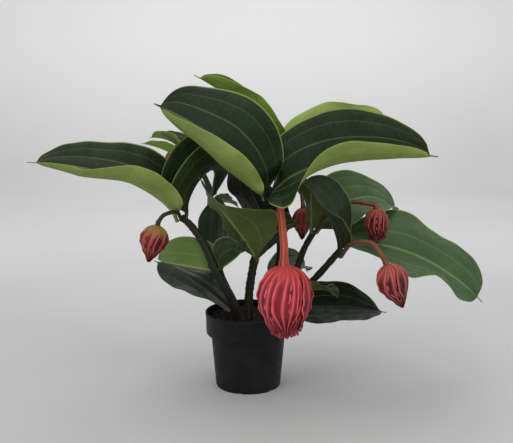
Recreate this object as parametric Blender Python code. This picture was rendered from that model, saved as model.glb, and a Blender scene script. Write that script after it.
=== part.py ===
"""A house plant with broad ribbed leaves and hanging pink blooms, standing in a round nursery pot.

Metres, +Z up.  The origin is the middle of the pot's foot; the plant is seen from -Y, with +X to the right.
Each leaf is one blade that springs from a stem, rises and droops along its midrib, and is folded to either
side of that midrib.  Each bloom is a closed bud of lapping, ribbed bracts at the end of its own stalk.
"""
import math
from dataclasses import dataclass

import bpy
import numpy as np

GAP = 0.0003                 # clearance between pieces that touch

# Pot: a 14 cm nursery pot with a wide band under its rim
POT_HEIGHT = 0.124
RIM_RADIUS = 0.070
BAND_LOW = 0.092
BAND_RADIUS = 0.0685
BODY_RADIUS = 0.0608
FOOT_RADIUS = 0.0535
POT_WALL = 0.0022
POT_FLOOR = 0.004
NOTCHES = 6                  # drain notches round the foot
NOTCH_RADIUS = 0.005
NOTCH_DEPTH = 0.0025
SOIL_TOP = 0.112
SOIL_CROWN = 0.003
HOLE_FLOOR = 0.086           # the stems stand in plain holes down to here
POT_SIDES = 36

# Leaves
BLADE = 0.0009               # thickness
PLEAT = 0.0008               # how far the nerves sink below the blade between them
NERVES = (-0.42, 0.0, 0.42)
STALK_HALF = 0.0035
SHOULDER = 0.063             # share of the length where the blade reaches its rounded base
TIP_HALF = 0.0007

CHARCOAL = (0.012, 0.012, 0.013)
EARTH = (0.055, 0.036, 0.024)
STEM_GREEN = (0.055, 0.085, 0.040)
LEAF_GREEN = (0.035, 0.085, 0.035)
LEAF_LIGHT = (0.120, 0.210, 0.055)
LEAF_DARK = (0.025, 0.040, 0.030)
BRACT_PINK = (0.720, 0.110, 0.130)
STALK_RED = (0.560, 0.150, 0.110)

# Where the leaves and the bloom stalks spring from
LEFT_FORK = (-0.050, -0.062, 0.209)
LEFT_TIP = (-0.103, -0.056, 0.290)
MIDDLE_FORK = (0.010, -0.027, 0.212)
MIDDLE_TIP = (0.030, -0.068, 0.321)
RIGHT_TIP = (0.108, 0.014, 0.255)
FAR_RIGHT_TIP = (0.147, -0.045, 0.238)
BACK_TIP = (0.062, 0.053, 0.361)
BACK_LEFT_TIP = (-0.091, 0.090, 0.352)
BACK_LEFT_FORK = (-0.060, 0.063, 0.208)
BACK_LEFT_NODE = (-0.065, 0.078, 0.286)


@dataclass
class Stem:
    """A woody stem: the points of its axis above the soil, and its radius at the foot and at the top."""
    name: str
    foot: tuple
    points: tuple
    radius: float
    top_radius: float
    swell: tuple = ()         # heights of the swollen joints


STEMS = (
    Stem("stem_left", (-0.019, -0.017), ((-0.026, -0.032, 0.150), LEFT_FORK, (-0.068, -0.060, 0.250),
         (-0.088, -0.056, 0.277), LEFT_TIP), 0.0070, 0.0046, (0.214,)),
    Stem("stem_middle", (0.001, -0.022), ((0.002, -0.022, 0.160), MIDDLE_FORK, (0.022, -0.042, 0.262),
         MIDDLE_TIP), 0.0066, 0.0046, (0.212,)),
    Stem("stem_right", (0.030, -0.004), ((0.052, 0.000, 0.147), (0.078, 0.005, 0.191), (0.091, 0.008, 0.225),
         RIGHT_TIP), 0.0048, 0.0044),
    Stem("stem_far_right", (0.046, -0.020), ((0.066, -0.012, 0.139), (0.091, -0.016, 0.165),
         (0.115, -0.030, 0.195), FAR_RIGHT_TIP), 0.0050, 0.0044),
    Stem("stem_back", (0.020, 0.036), ((0.033, 0.045, 0.147), (0.050, 0.055, 0.193), (0.053, 0.060, 0.247),
         (0.058, 0.060, 0.307), BACK_TIP), 0.0050, 0.0042),
    Stem("stem_back_left", (-0.016, 0.040), ((-0.036, 0.052, 0.147), BACK_LEFT_FORK, (-0.065, 0.070, 0.254),
         BACK_LEFT_NODE, (-0.066, 0.083, 0.312), (-0.077, 0.089, 0.338), BACK_LEFT_TIP), 0.0050, 0.0040),
)


@dataclass
class Leaf:
    """One blade.  Angles are in degrees; heading is measured from +X towards +Y.

    The midrib leaves its base at `rise` above level and has turned down by `droop` at its tip, more of it
    early on when `ease` is under 1, while its heading turns by `sweep`.  `left` and `right` give how steeply
    that half of the blade stands at the midrib and at its margin, near the base; `left_end` and `right_end`
    give the same near the tip.  `roll` and `twist` turn the whole blade about the midrib.
    """
    name: str
    base: tuple
    heading: float
    rise: float
    droop: float
    length: float
    width: float
    left: tuple
    right: tuple
    left_end: tuple
    right_end: tuple
    sweep: float = 0.0
    roll: float = 0.0
    twist: float = 0.0
    ease: float = 1.0
    broad: float = 0.45
    blunt: float = 0.62
    blend: float = 0.5
    wave: float = 0.004
    waves: float = 2.5
    phase: float = 0.0
    flare: float = 1.0        # how much of the fold there is at the base
    reach: float = 0.003      # how far the stalk runs back from the base, towards the stem
    fine: bool = True
    colour: tuple = LEAF_GREEN


LEAVES = (
    Leaf("leaf_far_left", (-0.110, -0.057, 0.290), 191, 70, 67, 0.242, 0.129, (-1, 77), (57, 70),
         (-55, 64), (41, 43), sweep=11, roll=-4, reach=0.004, twist=5, ease=0.42, broad=0.40, blunt=0.64,
         waves=2.4, phase=1.0),
    Leaf("leaf_left_arch", (-0.094, -0.056, 0.296), 23, 83, 174, 0.187, 0.137, (59, 56), (60, 120),
         (78, 85), (20, 108), flare=0.9, sweep=99, roll=15, reach=0.004, twist=8, ease=1.11, broad=0.49,
         wave=0.003),
    Leaf("leaf_top_left", (0.024, -0.072, 0.325), 195, 75, 51, 0.220, 0.166, (-58, 138), (56, 69),
         (-32, 104), (16, 24), flare=0.55, sweep=8, roll=-30, twist=-16, ease=0.47, broad=0.57,
         blunt=0.57, waves=2.0),
    Leaf("leaf_top_right", (0.037, -0.060, 0.324), -28, 72, 78, 0.266, 0.162, (65, 46), (-10, -50),
         (77, 55), (-13, 94), flare=0.55, sweep=28, roll=-1, reach=0.007, twist=24, ease=0.36,
         broad=0.25, blunt=0.54, blend=0.35, waves=2.2),
    Leaf("leaf_top_left_back", (0.056, 0.046, 0.368), 192, 61, 36, 0.204, 0.104, (15, 52), (30, 60),
         (19, 58), (29, 57), sweep=9, roll=-4, reach=0.007, twist=-2, blunt=0.64, colour=LEAF_LIGHT),
    Leaf("leaf_top_right_back", (0.067, 0.058, 0.369), 9, 56, 76, 0.196, 0.112, (41, 45), (39, 58),
         (34, 31), (34, 50), sweep=-5, roll=0, reach=0.006, twist=1, ease=0.93, broad=0.44, blunt=0.65,
         wave=0.005, waves=2.2, colour=LEAF_LIGHT),
    Leaf("leaf_right_big", (0.152, -0.038, 0.242), 7, 14, 58, 0.243, 0.184, (45, 47), (-36, -12),
         (32, 1), (-6, 19), sweep=-25, roll=-26, reach=0.004, twist=46, ease=0.62, broad=0.44,
         blunt=0.43, waves=2.6, phase=2.0),
    Leaf("leaf_right_arch", (0.143, -0.053, 0.239), 200, 78, 37, 0.129, 0.111, (16, 49), (14, 59),
         (11, 21), (20, 60), sweep=-17, roll=-24, reach=0.004, twist=3, broad=0.49, blunt=0.54,
         wave=0.002),
    Leaf("leaf_right_upper", (0.116, 0.015, 0.258), 26, 48, 110, 0.195, 0.123, (40, 39), (-20, 0),
         (40, 40), (-20, 0), sweep=6, roll=0, reach=0.005, twist=5, ease=1.32, broad=0.43, phase=1.0),
    Leaf("leaf_right_inner", (0.103, 0.007, 0.259), 262, 70, 8, 0.100, 0.080, (37, 57), (46, 80),
         (20, 30), (20, 31), sweep=6, roll=-10, twist=-3, broad=0.43, blunt=0.65, wave=0.002,
         fine=False),
    Leaf("leaf_inner_dark", (0.044, 0.057, 0.237), 218, 59, 14, 0.170, 0.105, (10, 20), (2, 6), (-1, -1),
         (4, 8), sweep=41, roll=2, reach=0.004, twist=-11, broad=0.47, blunt=0.56, wave=0.003,
         fine=False, colour=LEAF_DARK),
    Leaf("leaf_inner_small", (-0.058, 0.083, 0.287), -2, 34, 84, 0.046, 0.047, (17, 43), (10, 30),
         (6, 22), (10, 30), sweep=10, roll=4, reach=0.002, twist=-3, wave=0.002, fine=False),
    Leaf("leaf_inner_left", (-0.053, 0.054, 0.200), 123, 105, 27, 0.110, 0.081, (-5, 10), (-20, -20),
         (-26, -29), (-20, -20), sweep=3, roll=9, reach=0.002, twist=-1, broad=0.48, wave=0.002,
         fine=False),
    Leaf("leaf_left_fork_outer", (-0.048, -0.051, 0.203), 199, 17, 25, 0.120, 0.094, (68, 78), (50, 50),
         (77, 91), (50, 50), sweep=-92, roll=24, reach=0.002, twist=-16, ease=0.8, broad=0.30,
         blunt=0.53, wave=0.002, waves=2.0, fine=False),
    Leaf("leaf_left_fork_inner", (-0.040, -0.068, 0.213), -30, 34, 2, 0.062, 0.079, (50, 50), (74, 84),
         (50, 50), (65, 106), sweep=-44, roll=3, reach=0.004, twist=-9, broad=0.43, blunt=0.66,
         wave=0.002, waves=2.0, fine=False),
    Leaf("leaf_middle_fork_left", (0.012, -0.040, 0.224), 227, 52, -4, 0.161, 0.134, (55, 63), (5, 19),
         (0, -5), (-4, -7), sweep=-56, roll=5, reach=0.004, twist=2, broad=0.47, blunt=0.68, wave=0.003,
         waves=2.0),
    Leaf("leaf_middle_fork_right", (0.015, -0.019, 0.216), -27, 69, 55, 0.104, 0.066, (21, 14), (40, 60),
         (25, 21), (53, 78), sweep=-13, roll=-24, reach=0.004, twist=-15, broad=0.47, blunt=0.54,
         wave=0.002, waves=2.0, fine=False),
    Leaf("leaf_low_left", (-0.023, -0.006, 0.122), 164, 42, 24, 0.160, 0.102, (-20, 10), (30, 29),
         (-39, -27), (22, 14), sweep=3, roll=15, twist=-1, blunt=0.52, wave=0.003, waves=2.0, fine=False,
         colour=LEAF_DARK),
    Leaf("leaf_low_right", (0.066, -0.012, 0.128), 0, 11, 29, 0.170, 0.096, (48, 34), (-13, -6),
         (48, 39), (-11, -2), sweep=22, roll=8, reach=0.002, twist=-3, ease=0.88, blunt=0.68, wave=0.003,
         waves=2.0, fine=False, colour=LEAF_DARK),
    Leaf("leaf_back_low", (0.045, 0.056, 0.162), 32, 57, 119, 0.097, 0.069, (-4, 14), (0, 20), (20, 49),
         (0, 20), sweep=21, roll=12, reach=0.004, twist=10, ease=1.1, blunt=0.58, wave=0.002,
         fine=False),
    Leaf("leaf_young", (0.098, -0.021, 0.164), -38, 24, 43, 0.067, 0.037, (22, 15), (34, 38), (31, 32),
         (29, 29), sweep=-26, roll=-10, reach=0.002, twist=-2, blunt=0.60, wave=0.002, fine=False,
         colour=LEAF_LIGHT),
    Leaf("leaf_far_back_low", (-0.098, 0.093, 0.350), 165, 42, 36, 0.099, 0.042, (30, 60), (30, 59),
         (26, 54), (22, 46), sweep=4, roll=9, twist=3, blunt=0.64, wave=0.002, fine=False,
         colour=LEAF_LIGHT),
    Leaf("leaf_far_back_high", (-0.093, 0.096, 0.350), 146, 63, 72, 0.111, 0.064, (30, 50), (31, 52),
         (28, 46), (24, 40), sweep=9, roll=2, twist=2, blunt=0.64, wave=0.002, fine=False),
)


@dataclass
class Bloom:
    """A hanging bud and the stalk that carries it."""
    name: str
    stalk: tuple              # points of the stalk's axis, the last at the top of the bud
    stalk_radius: tuple       # at the stem, and at the bud
    tip: tuple                # lowest point of the bud
    radius: float
    bracts: int
    open_mouth: bool = False
    columns: int = 20


BLOOMS = (
    Bloom("front", ((0.045, -0.060, 0.325), (0.051, -0.085, 0.298), (0.055, -0.105, 0.256),
          (0.055, -0.110, 0.226)), (0.0044, 0.0062), (0.058, -0.110, 0.117), 0.0385, 6, True, 30),
    Bloom("left", ((-0.102, -0.063, 0.290), (-0.107, -0.082, 0.302), (-0.123, -0.097, 0.300),
          (-0.133, -0.100, 0.285)), (0.0026, 0.0030), (-0.148, -0.100, 0.228), 0.0200, 4),
    Bloom("right", ((0.111, 0.008, 0.256), (0.134, -0.009, 0.291), (0.164, -0.020, 0.307),
          (0.184, -0.030, 0.307), (0.200, -0.036, 0.300)), (0.0028, 0.0034), (0.204, -0.036, 0.248), 0.0180,
          5, True),
    Bloom("far_right", ((0.146, -0.048, 0.227), (0.155, -0.103, 0.257), (0.181, -0.127, 0.263),
          (0.194, -0.138, 0.248), (0.202, -0.138, 0.234)), (0.0030, 0.0036), (0.228, -0.138, 0.168), 0.0225,
          4),
    Bloom("back", ((0.068, 0.060, 0.358), (0.080, 0.054, 0.342), (0.088, 0.048, 0.313),
          (0.091, 0.046, 0.288)), (0.0026, 0.0030), (0.090, 0.046, 0.233), 0.0165, 4),
    Bloom("far_back", ((-0.0815, 0.0953, 0.3387), (-0.115, 0.139, 0.379), (-0.122, 0.144, 0.383),
          (-0.128, 0.149, 0.378)), (0.0024, 0.0028), (-0.135, 0.151, 0.328), 0.0160, 4),
)


def finish(name, rgb, roughness):
    """A plain Principled finish."""
    made = bpy.data.materials.new(name)
    made.use_nodes = True
    shader = made.node_tree.nodes["Principled BSDF"]
    shader.inputs["Base Color"].default_value = (*rgb, 1.0)
    shader.inputs["Roughness"].default_value = roughness
    shader.inputs["Metallic"].default_value = 0.0
    made.diffuse_color = (*rgb, 1.0)
    return made


def add_body(name, points, faces, material, sharp=50.0):
    """An object from points and faces, shaded smooth except over edges sharper than `sharp` degrees."""
    mesh = bpy.data.meshes.new(name)
    mesh.from_pydata([tuple(map(float, p)) for p in points], [], [tuple(map(int, f)) for f in faces])
    mesh.update()
    mesh.shade_smooth()
    mesh.set_sharp_from_angle(angle=math.radians(sharp))
    mesh.materials.append(material)
    body = bpy.data.objects.new(name, mesh)
    bpy.context.scene.collection.objects.link(body)
    return body


def rings_to_body(rings, first, last):
    """Points and faces of a closed body through equal rings, counter-clockwise seen from its far end."""
    count = len(rings[0])
    points = [p for ring in rings for p in ring] + [first, last]
    faces = []
    for j in range(len(rings) - 1):
        for i in range(count):
            k = (i + 1) % count
            faces.append((j * count + i, j * count + k, (j + 1) * count + k, (j + 1) * count + i))
    a, b, top = len(points) - 2, len(points) - 1, (len(rings) - 1) * count
    for i in range(count):
        k = (i + 1) % count
        faces.append((a, k, i))
        faces.append((b, top + i, top + k))
    return points, faces


def lathe(profile, sides):
    """Points and faces of a turned body.  The profile runs from the axis round its outer side back to it."""
    angles = [2.0 * math.pi * i / sides for i in range(sides)]
    rings = [[(r * math.cos(a), r * math.sin(a), z) for a in angles] for r, z in profile[1:-1]]
    return rings_to_body(rings, (0.0, 0.0, profile[0][1]), (0.0, 0.0, profile[-1][1]))


def hide_cutter(cutter):
    """Mark an object as a cutter only."""
    cutter.hide_render = True
    cutter.display_type = "WIRE"


def cut(body, cutter):
    """Cut the cutter's shape out of the body."""
    hide_cutter(cutter)
    change = body.modifiers.new("cut_" + cutter.name, "BOOLEAN")
    change.operation = "DIFFERENCE"
    change.solver = "EXACT"
    change.object = cutter


def plain_cylinder(name, radius, low, high, x, y, sides, material):
    """An upright cylinder from height low to height high."""
    profile = ((0.0, low), (radius, low), (radius, high), (0.0, high))
    points, faces = lathe(profile, sides)
    return add_body(name, [(px + x, py + y, pz) for px, py, pz in points], faces, material)


def smooth_path(points, count):
    """Evenly numbered points on a Catmull-Rom curve through the given points."""
    p = np.array(points, float)
    p = np.vstack([2.0 * p[0] - p[1], p, 2.0 * p[-1] - p[-2]])
    spans = len(p) - 3
    out = []
    for s in np.linspace(0.0, spans, count):
        k = min(int(s), spans - 1)
        t = s - k
        a, b, c, d = p[k:k + 4]
        out.append(0.5 * (2.0 * b + (c - a) * t + (2.0 * a - 5.0 * b + 4.0 * c - d) * t ** 2
                          + (3.0 * b - a - 3.0 * c + d) * t ** 3))
    return np.array(out)


def unit(v):
    """The vector at length one."""
    v = np.asarray(v, float)
    return v / np.linalg.norm(v)


def tube(path, radii, sides, ridge=0.0):
    """Points and faces of a tube along a path; every other side stands out by the share `ridge`."""
    tangents = np.gradient(path, axis=0)
    tangents /= np.linalg.norm(tangents, axis=1)[:, None]
    side = unit(np.cross(tangents[0], (0.31, -0.95, 0.02)))
    rings = []
    for centre, along, radius in zip(path, tangents, radii):
        side = unit(side - along * np.dot(side, along))
        other = np.cross(along, side)
        ring = []
        for i in range(sides):
            a = 2.0 * math.pi * i / sides
            r = radius * (1.0 + (ridge if i % 2 == 0 else 0.0))
            ring.append(centre + (side * math.cos(a) + other * math.sin(a)) * r)
        rings.append(ring)
    return rings_to_body(rings, path[0], path[-1])


def smoothstep(low, high, x):
    """Nought below low, one above high, and an even curve between them."""
    t = np.clip((x - low) / (high - low), 0.0, 1.0)
    return t * t * (3.0 - 2.0 * t)


def blade_half_width(leaf, along):
    """Half the blade's width along the midrib: a broad middle, a short stalk and a drawn-out tip."""
    end = 0.95
    t = np.clip(along / end, 0.0, 1.0)
    p, q = leaf.broad, leaf.blunt
    middle = p / (p + q)
    from_shoulder = np.maximum(t, SHOULDER)
    blade = from_shoulder ** p * (1.0 - from_shoulder) ** q / (middle ** p * (1.0 - middle) ** q)
    blade = blade * np.minimum(1.0, t / SHOULDER) * leaf.width / 2.0
    tail = TIP_HALF + 0.0015 * np.clip((1.0 - along) / 0.08, 0.0, 1.0)
    stalk = STALK_HALF * np.clip(1.0 - along / 0.1, 0.0, 1.0)
    return np.maximum(np.maximum(blade, tail), stalk)


def blade_surface(leaf, along, across):
    """Points of the blade's middle surface for shares along the midrib and across the blade, -1 to 1."""
    fine = np.linspace(0.0, 1.0, 101)
    lift = np.radians(leaf.rise - leaf.droop * fine ** leaf.ease)
    turn = np.radians(leaf.heading + leaf.sweep * fine)
    forward = np.stack([np.cos(lift) * np.cos(turn), np.cos(lift) * np.sin(turn), np.sin(lift)], -1)
    steps = (forward[1:] + forward[:-1]) / 2.0 * leaf.length / 100.0
    rib = np.vstack([np.zeros(3), np.cumsum(steps, 0)]) + np.array(leaf.base)
    rib = np.stack([np.interp(along, fine, rib[:, k]) for k in range(3)], -1)
    forward = np.stack([np.interp(along, fine, forward[:, k]) for k in range(3)], -1)
    forward /= np.linalg.norm(forward, axis=1)[:, None]
    turn = np.interp(along, fine, turn)
    flat = np.stack([-np.sin(turn), np.cos(turn), 0.0 * turn], -1)
    above = np.cross(forward, flat)
    tilt = np.radians(leaf.roll + leaf.twist * along)[:, None]
    side = np.cos(tilt) * flat + np.sin(tilt) * above
    up = np.cos(tilt) * above - np.sin(tilt) * flat

    width = blade_half_width(leaf, along)[:, None]
    out = np.abs(across)[None, :]
    late = smoothstep(leaf.blend - 0.25, leaf.blend + 0.25, along)
    opened = smoothstep(0.0, 0.016, width)          # the narrow stalk and tip are nearly flat
    opened = opened * (leaf.flare + (1.0 - leaf.flare) * smoothstep(0.03, 0.13, along))[:, None]

    def fold(start, end):
        """How far sideways and upwards one half runs, and its slope, for a bend from rib to margin."""
        at_rib = np.radians(start[0] + (end[0] - start[0]) * late)[:, None] * opened
        bend = np.radians(start[1] + (end[1] - start[1]) * late)[:, None] * opened - at_rib
        bend = np.where(np.abs(bend) < 0.001, 0.001, bend)
        slope = at_rib + bend * out
        return ((np.sin(slope) - np.sin(at_rib)) / bend * width,
                (np.cos(at_rib) - np.cos(slope)) / bend * width, slope)

    left_run, left_rise, left_slope = fold(leaf.left, leaf.left_end)
    right_run, right_rise, right_slope = fold(leaf.right, leaf.right_end)
    is_left = (across >= 0.0)[None, :]
    run = np.where(is_left, left_run, -right_run)
    rise = np.where(is_left, left_rise, right_rise)
    slope = np.where(is_left, left_slope, -right_slope)

    nerve = np.min(np.abs(across[None, :] - np.array(NERVES)[:, None]), axis=0)
    puff = PLEAT * (smoothstep(0.0, 0.2, nerve) - 0.5)[None, :] * np.minimum(1.0, width / 0.03)
    shift = np.where(is_left, 0.0, 2.1) + leaf.phase
    ripple = (leaf.wave * out ** 2.2 * np.sin(2.0 * np.pi * leaf.waves * along[:, None] + shift)
              * np.sin(np.pi * np.clip(along, 0.0, 1.0))[:, None] ** 0.7)
    run = run - np.sin(slope) * (ripple + puff)
    rise = rise + np.cos(slope) * (ripple + puff)
    return rib[:, None, :] + side[:, None, :] * run[..., None] + up[:, None, :] * rise[..., None]


def grid_normals(grid):
    """The mean normal of the triangles that meet at each point, and the grid's own slope at the tip."""
    a, b, c, d = grid[:-1, :-1], grid[1:, :-1], grid[1:, 1:], grid[:-1, 1:]
    first, second = np.cross(b - a, c - a), np.cross(c - a, d - a)
    first /= np.linalg.norm(first, axis=-1, keepdims=True)
    second /= np.linalg.norm(second, axis=-1, keepdims=True)
    total = np.zeros(grid.shape)
    total[:-1, :-1] += first + second
    total[1:, :-1] += first
    total[1:, 1:] += first + second
    total[:-1, 1:] += second
    total /= np.linalg.norm(total, axis=-1, keepdims=True)
    slope = np.cross(np.gradient(grid, axis=0), np.gradient(grid, axis=1))
    slope /= np.linalg.norm(slope, axis=-1, keepdims=True)
    total[-3:] = slope[-3:]
    return total


def blade_body(leaf):
    """Points and faces of a closed blade, split into triangles alike on both faces."""
    if leaf.fine:
        along = np.array([0.0, 0.06, 0.15, 0.26, 0.38, 0.5, 0.62, 0.74, 0.85, 0.94, 1.0])
        across = np.array([-1.0, -0.7, -0.42, -0.2, 0.0, 0.2, 0.42, 0.7, 1.0])
    else:
        along = np.array([0.0, 0.08, 0.21, 0.36, 0.52, 0.68, 0.83, 0.94, 1.0])
        across = np.array([-1.0, -0.7, -0.42, 0.0, 0.42, 0.7, 1.0])
    grid = blade_surface(leaf, along, across)
    lift, turn = math.radians(leaf.rise), math.radians(leaf.heading)
    back = np.array((math.cos(lift) * math.cos(turn), math.cos(lift) * math.sin(turn), math.sin(lift)))
    grid = np.concatenate([grid[:1] - back[None, None, :] * leaf.reach, grid], 0)
    normal = grid_normals(grid)
    upper, lower = grid + normal * BLADE / 2.0, grid - normal * BLADE / 2.0
    rows, columns = grid.shape[:2]
    points = np.concatenate([upper.reshape(-1, 3), lower.reshape(-1, 3)])
    under = rows * columns
    faces = []
    for i in range(rows - 1):
        for j in range(columns - 1):
            a, b = i * columns + j, (i + 1) * columns + j
            for x, y, z in ((a, b, b + 1), (a, b + 1, a + 1)):
                faces.append((x, y, z))
                faces.append((under + x, under + z, under + y))
    edge = ([(i * columns, (i + 1) * columns) for i in range(rows - 1)]
            + [((rows - 1) * columns + j, (rows - 1) * columns + j + 1) for j in range(columns - 1)]
            + [(i * columns + columns - 1, (i - 1) * columns + columns - 1) for i in range(rows - 1, 0, -1)]
            + [(j, j - 1) for j in range(columns - 1, 0, -1)])
    for a, b in edge:
        faces.append((a, under + a, b))
        faces.append((b, under + a, under + b))
    return points, faces


def bud_body(bloom):
    """Points and faces of a bud: lapping bracts with raised ribs, closed to a point or open at the mouth."""
    top, tip = np.array(bloom.stalk[-1]), np.array(bloom.tip)
    down = tip - top
    height = float(np.linalg.norm(down))
    axis = down / height
    side = unit(np.cross(axis, (0.0, 1.0, 0.0)))
    other = np.cross(axis, side)
    start = GAP / height
    if bloom.open_mouth:
        outline = ((start, 0.16), (0.035, 0.42), (0.11, 0.70), (0.24, 0.91), (0.40, 1.0), (0.55, 0.97),
                   (0.70, 0.84), (0.82, 0.67), (0.91, 0.52), (0.955, 0.46), (0.935, 0.34), (0.965, 0.30),
                   (0.995, 0.16))
        lip = 9
    else:
        outline = ((start, 0.17), (0.05, 0.48), (0.14, 0.78), (0.27, 0.97), (0.40, 1.0), (0.55, 0.86),
                   (0.70, 0.62), (0.84, 0.36), (0.94, 0.16), (0.99, 0.07))
        lip = 99
    rings = []
    for row, (share, size) in enumerate(outline):
        ring = []
        for i in range(bloom.columns):
            a = 2.0 * math.pi * i / bloom.columns
            turn = (bloom.bracts * i / bloom.columns + 0.35 * share * (0 < row <= lip)) % 1.0
            edge = 0.0 if row == 0 else min(1.0, size)
            if row > lip:
                lap, rib = 0.0, 0.12 * (-1) ** i
            else:
                lap, rib = 0.11 * (turn - 0.5) * edge, 0.035 * (-1) ** i * edge
            drop = 0.0
            if bloom.open_mouth and lip - 1 <= row <= lip + 1:
                drop = 0.012 * math.cos(2.0 * math.pi * bloom.bracts * i / bloom.columns)
            r = bloom.radius * size * (1.0 + lap + rib)
            centre = top + down * (share + drop)
            ring.append(centre + (side * math.cos(a) + other * math.sin(a)) * r)
        rings.append(ring)
    return rings_to_body(rings, top + axis * GAP, tip)


def build_pot():
    """The pot, with drain notches round its foot."""
    wall = POT_WALL
    profile = ((0.0, 0.0), (FOOT_RADIUS - 0.001, 0.0), (FOOT_RADIUS, 0.001),
               (BODY_RADIUS, BAND_LOW - 0.006), (BAND_RADIUS, BAND_LOW - 0.003),
               (BAND_RADIUS + 0.0003, BAND_LOW), (RIM_RADIUS, POT_HEIGHT - 0.003),
               (RIM_RADIUS, POT_HEIGHT - 0.001), (RIM_RADIUS - 0.001, POT_HEIGHT),
               (RIM_RADIUS - wall - 0.001, POT_HEIGHT), (RIM_RADIUS - wall - 0.0015, POT_HEIGHT - 0.0015),
               (BAND_RADIUS - wall, BAND_LOW + 0.001), (BODY_RADIUS - wall, BAND_LOW - 0.006),
               (FOOT_RADIUS - wall + 0.0002, POT_FLOOR), (0.0, POT_FLOOR))
    points, faces = lathe(profile, POT_SIDES)
    pot = add_body("pot", points, faces, finish("pot_plastic", CHARCOAL, 0.55), 35.0)
    for i in range(NOTCHES):
        a = 2.0 * math.pi * (i + 0.25) / NOTCHES
        x, y = FOOT_RADIUS * math.cos(a), FOOT_RADIUS * math.sin(a)
        cutter = plain_cylinder(f"notch_cutter_{i + 1}", NOTCH_RADIUS, -0.003, NOTCH_DEPTH, x, y, 10,
                                pot.data.materials[0])
        cut(pot, cutter)


def build_soil():
    """The soil that fills the pot, lumpy on top, with a plain hole for each stem."""
    wall = POT_WALL + GAP
    generator = np.random.default_rng(7)
    low = POT_FLOOR + GAP
    profile = ((0.0, low), (FOOT_RADIUS - wall, low),
               (BODY_RADIUS - wall - 0.0001, BAND_LOW - 0.006 + 0.0002),
               (BAND_RADIUS - wall - 0.0002, BAND_LOW + 0.0012), (BAND_RADIUS - wall, SOIL_TOP - 0.003),
               (0.057, SOIL_TOP), (0.040, SOIL_TOP + 0.4 * SOIL_CROWN), (0.020, SOIL_TOP + 0.8 * SOIL_CROWN),
               (0.0, SOIL_TOP + SOIL_CROWN))
    points, faces = lathe(profile, 32)
    lumpy = []
    for x, y, z in points:
        if z > SOIL_TOP - 0.004:
            z += float(generator.uniform(-0.0009, 0.0009))
        lumpy.append((x, y, z))
    soil = add_body("soil", lumpy, faces, finish("potting_soil", EARTH, 0.95), 35.0)
    for stem in STEMS:
        cutter = plain_cylinder("hole_cutter_" + stem.name, stem.radius * 1.06 + 3.0 * GAP, HOLE_FLOOR, 0.13,
                                stem.foot[0], stem.foot[1], 10, soil.data.materials[0])
        cut(soil, cutter)


def build_stem(stem):
    """A four-winged stem that stands in its hole and swells at its joints."""
    x, y = stem.foot
    path = smooth_path(((x, y, 0.118),) + stem.points, 4 * len(stem.points) - 3)
    path = np.vstack([[x, y, HOLE_FLOOR + GAP], path])
    share = np.linspace(0.0, 1.0, len(path))
    radii = stem.radius + (stem.top_radius - stem.radius) * share
    for height in stem.swell:
        radii = radii * (1.0 + 0.16 * np.exp(-((path[:, 2] - height) / 0.006) ** 2))
    points, faces = tube(path, radii, 8, 0.06)
    add_body(stem.name, points, faces, finish(stem.name + "_bark", STEM_GREEN, 0.7))


def build_bloom(bloom):
    """A bud and its stalk."""
    top, tip = np.array(bloom.stalk[-1]), np.array(bloom.tip)
    neck = top - unit(tip - top) * 0.005
    path = np.vstack([smooth_path(bloom.stalk[:-1] + (tuple(neck),), 9), top])
    radii = np.linspace(bloom.stalk_radius[0], bloom.stalk_radius[1], len(path))
    points, faces = tube(path, radii, 10, 0.10)
    add_body("stalk_" + bloom.name, points, faces, finish("stalk_" + bloom.name + "_skin", STALK_RED, 0.5))
    points, faces = bud_body(bloom)
    add_body("bloom_" + bloom.name, points, faces, finish("bloom_" + bloom.name + "_bracts", BRACT_PINK, 0.5))


def main():
    """Clear the scene and build the plant."""
    for old in list(bpy.data.objects):
        bpy.data.objects.remove(old, do_unlink=True)
    build_pot()
    build_soil()
    for stem in STEMS:
        build_stem(stem)
    for leaf in LEAVES:
        points, faces = blade_body(leaf)
        add_body(leaf.name, points, faces, finish(leaf.name + "_blade", leaf.colour, 0.45))
    for bloom in BLOOMS:
        build_bloom(bloom)


main()
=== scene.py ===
"""Dress a potted medinilla: fine blades, lapping bracts, winged bark, crumbly soil and a moulded pot.

Metres, +Z up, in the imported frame: the origin is the middle of the pot's foot, -Y is towards the viewer and
+X to the right.  Each blade, bud, stalk and stem keeps the form and place of its solid, worked out again on a
finer grid, with the detail that is too small for the solid.
"""

import logging
import math
from dataclasses import dataclass
from enum import Enum

import bmesh
import bpy
import numpy as np
from mathutils import Matrix

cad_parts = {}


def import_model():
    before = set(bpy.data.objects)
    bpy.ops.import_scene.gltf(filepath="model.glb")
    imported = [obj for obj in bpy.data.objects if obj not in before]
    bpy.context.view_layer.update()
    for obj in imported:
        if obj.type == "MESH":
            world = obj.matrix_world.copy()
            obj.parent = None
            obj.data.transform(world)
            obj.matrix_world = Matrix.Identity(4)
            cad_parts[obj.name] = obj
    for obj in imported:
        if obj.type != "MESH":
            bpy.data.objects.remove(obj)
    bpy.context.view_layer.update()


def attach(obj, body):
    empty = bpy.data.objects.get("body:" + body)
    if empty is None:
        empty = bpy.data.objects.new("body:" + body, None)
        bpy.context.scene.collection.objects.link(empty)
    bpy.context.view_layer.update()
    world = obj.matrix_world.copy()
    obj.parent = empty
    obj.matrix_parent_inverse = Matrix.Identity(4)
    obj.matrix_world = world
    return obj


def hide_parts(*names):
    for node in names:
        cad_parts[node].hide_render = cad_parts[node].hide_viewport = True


Colour = tuple[float, float, float]
Point = tuple[float, float, float]
Socket = bpy.types.NodeSocket
LOG = logging.getLogger("medinilla")

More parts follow.
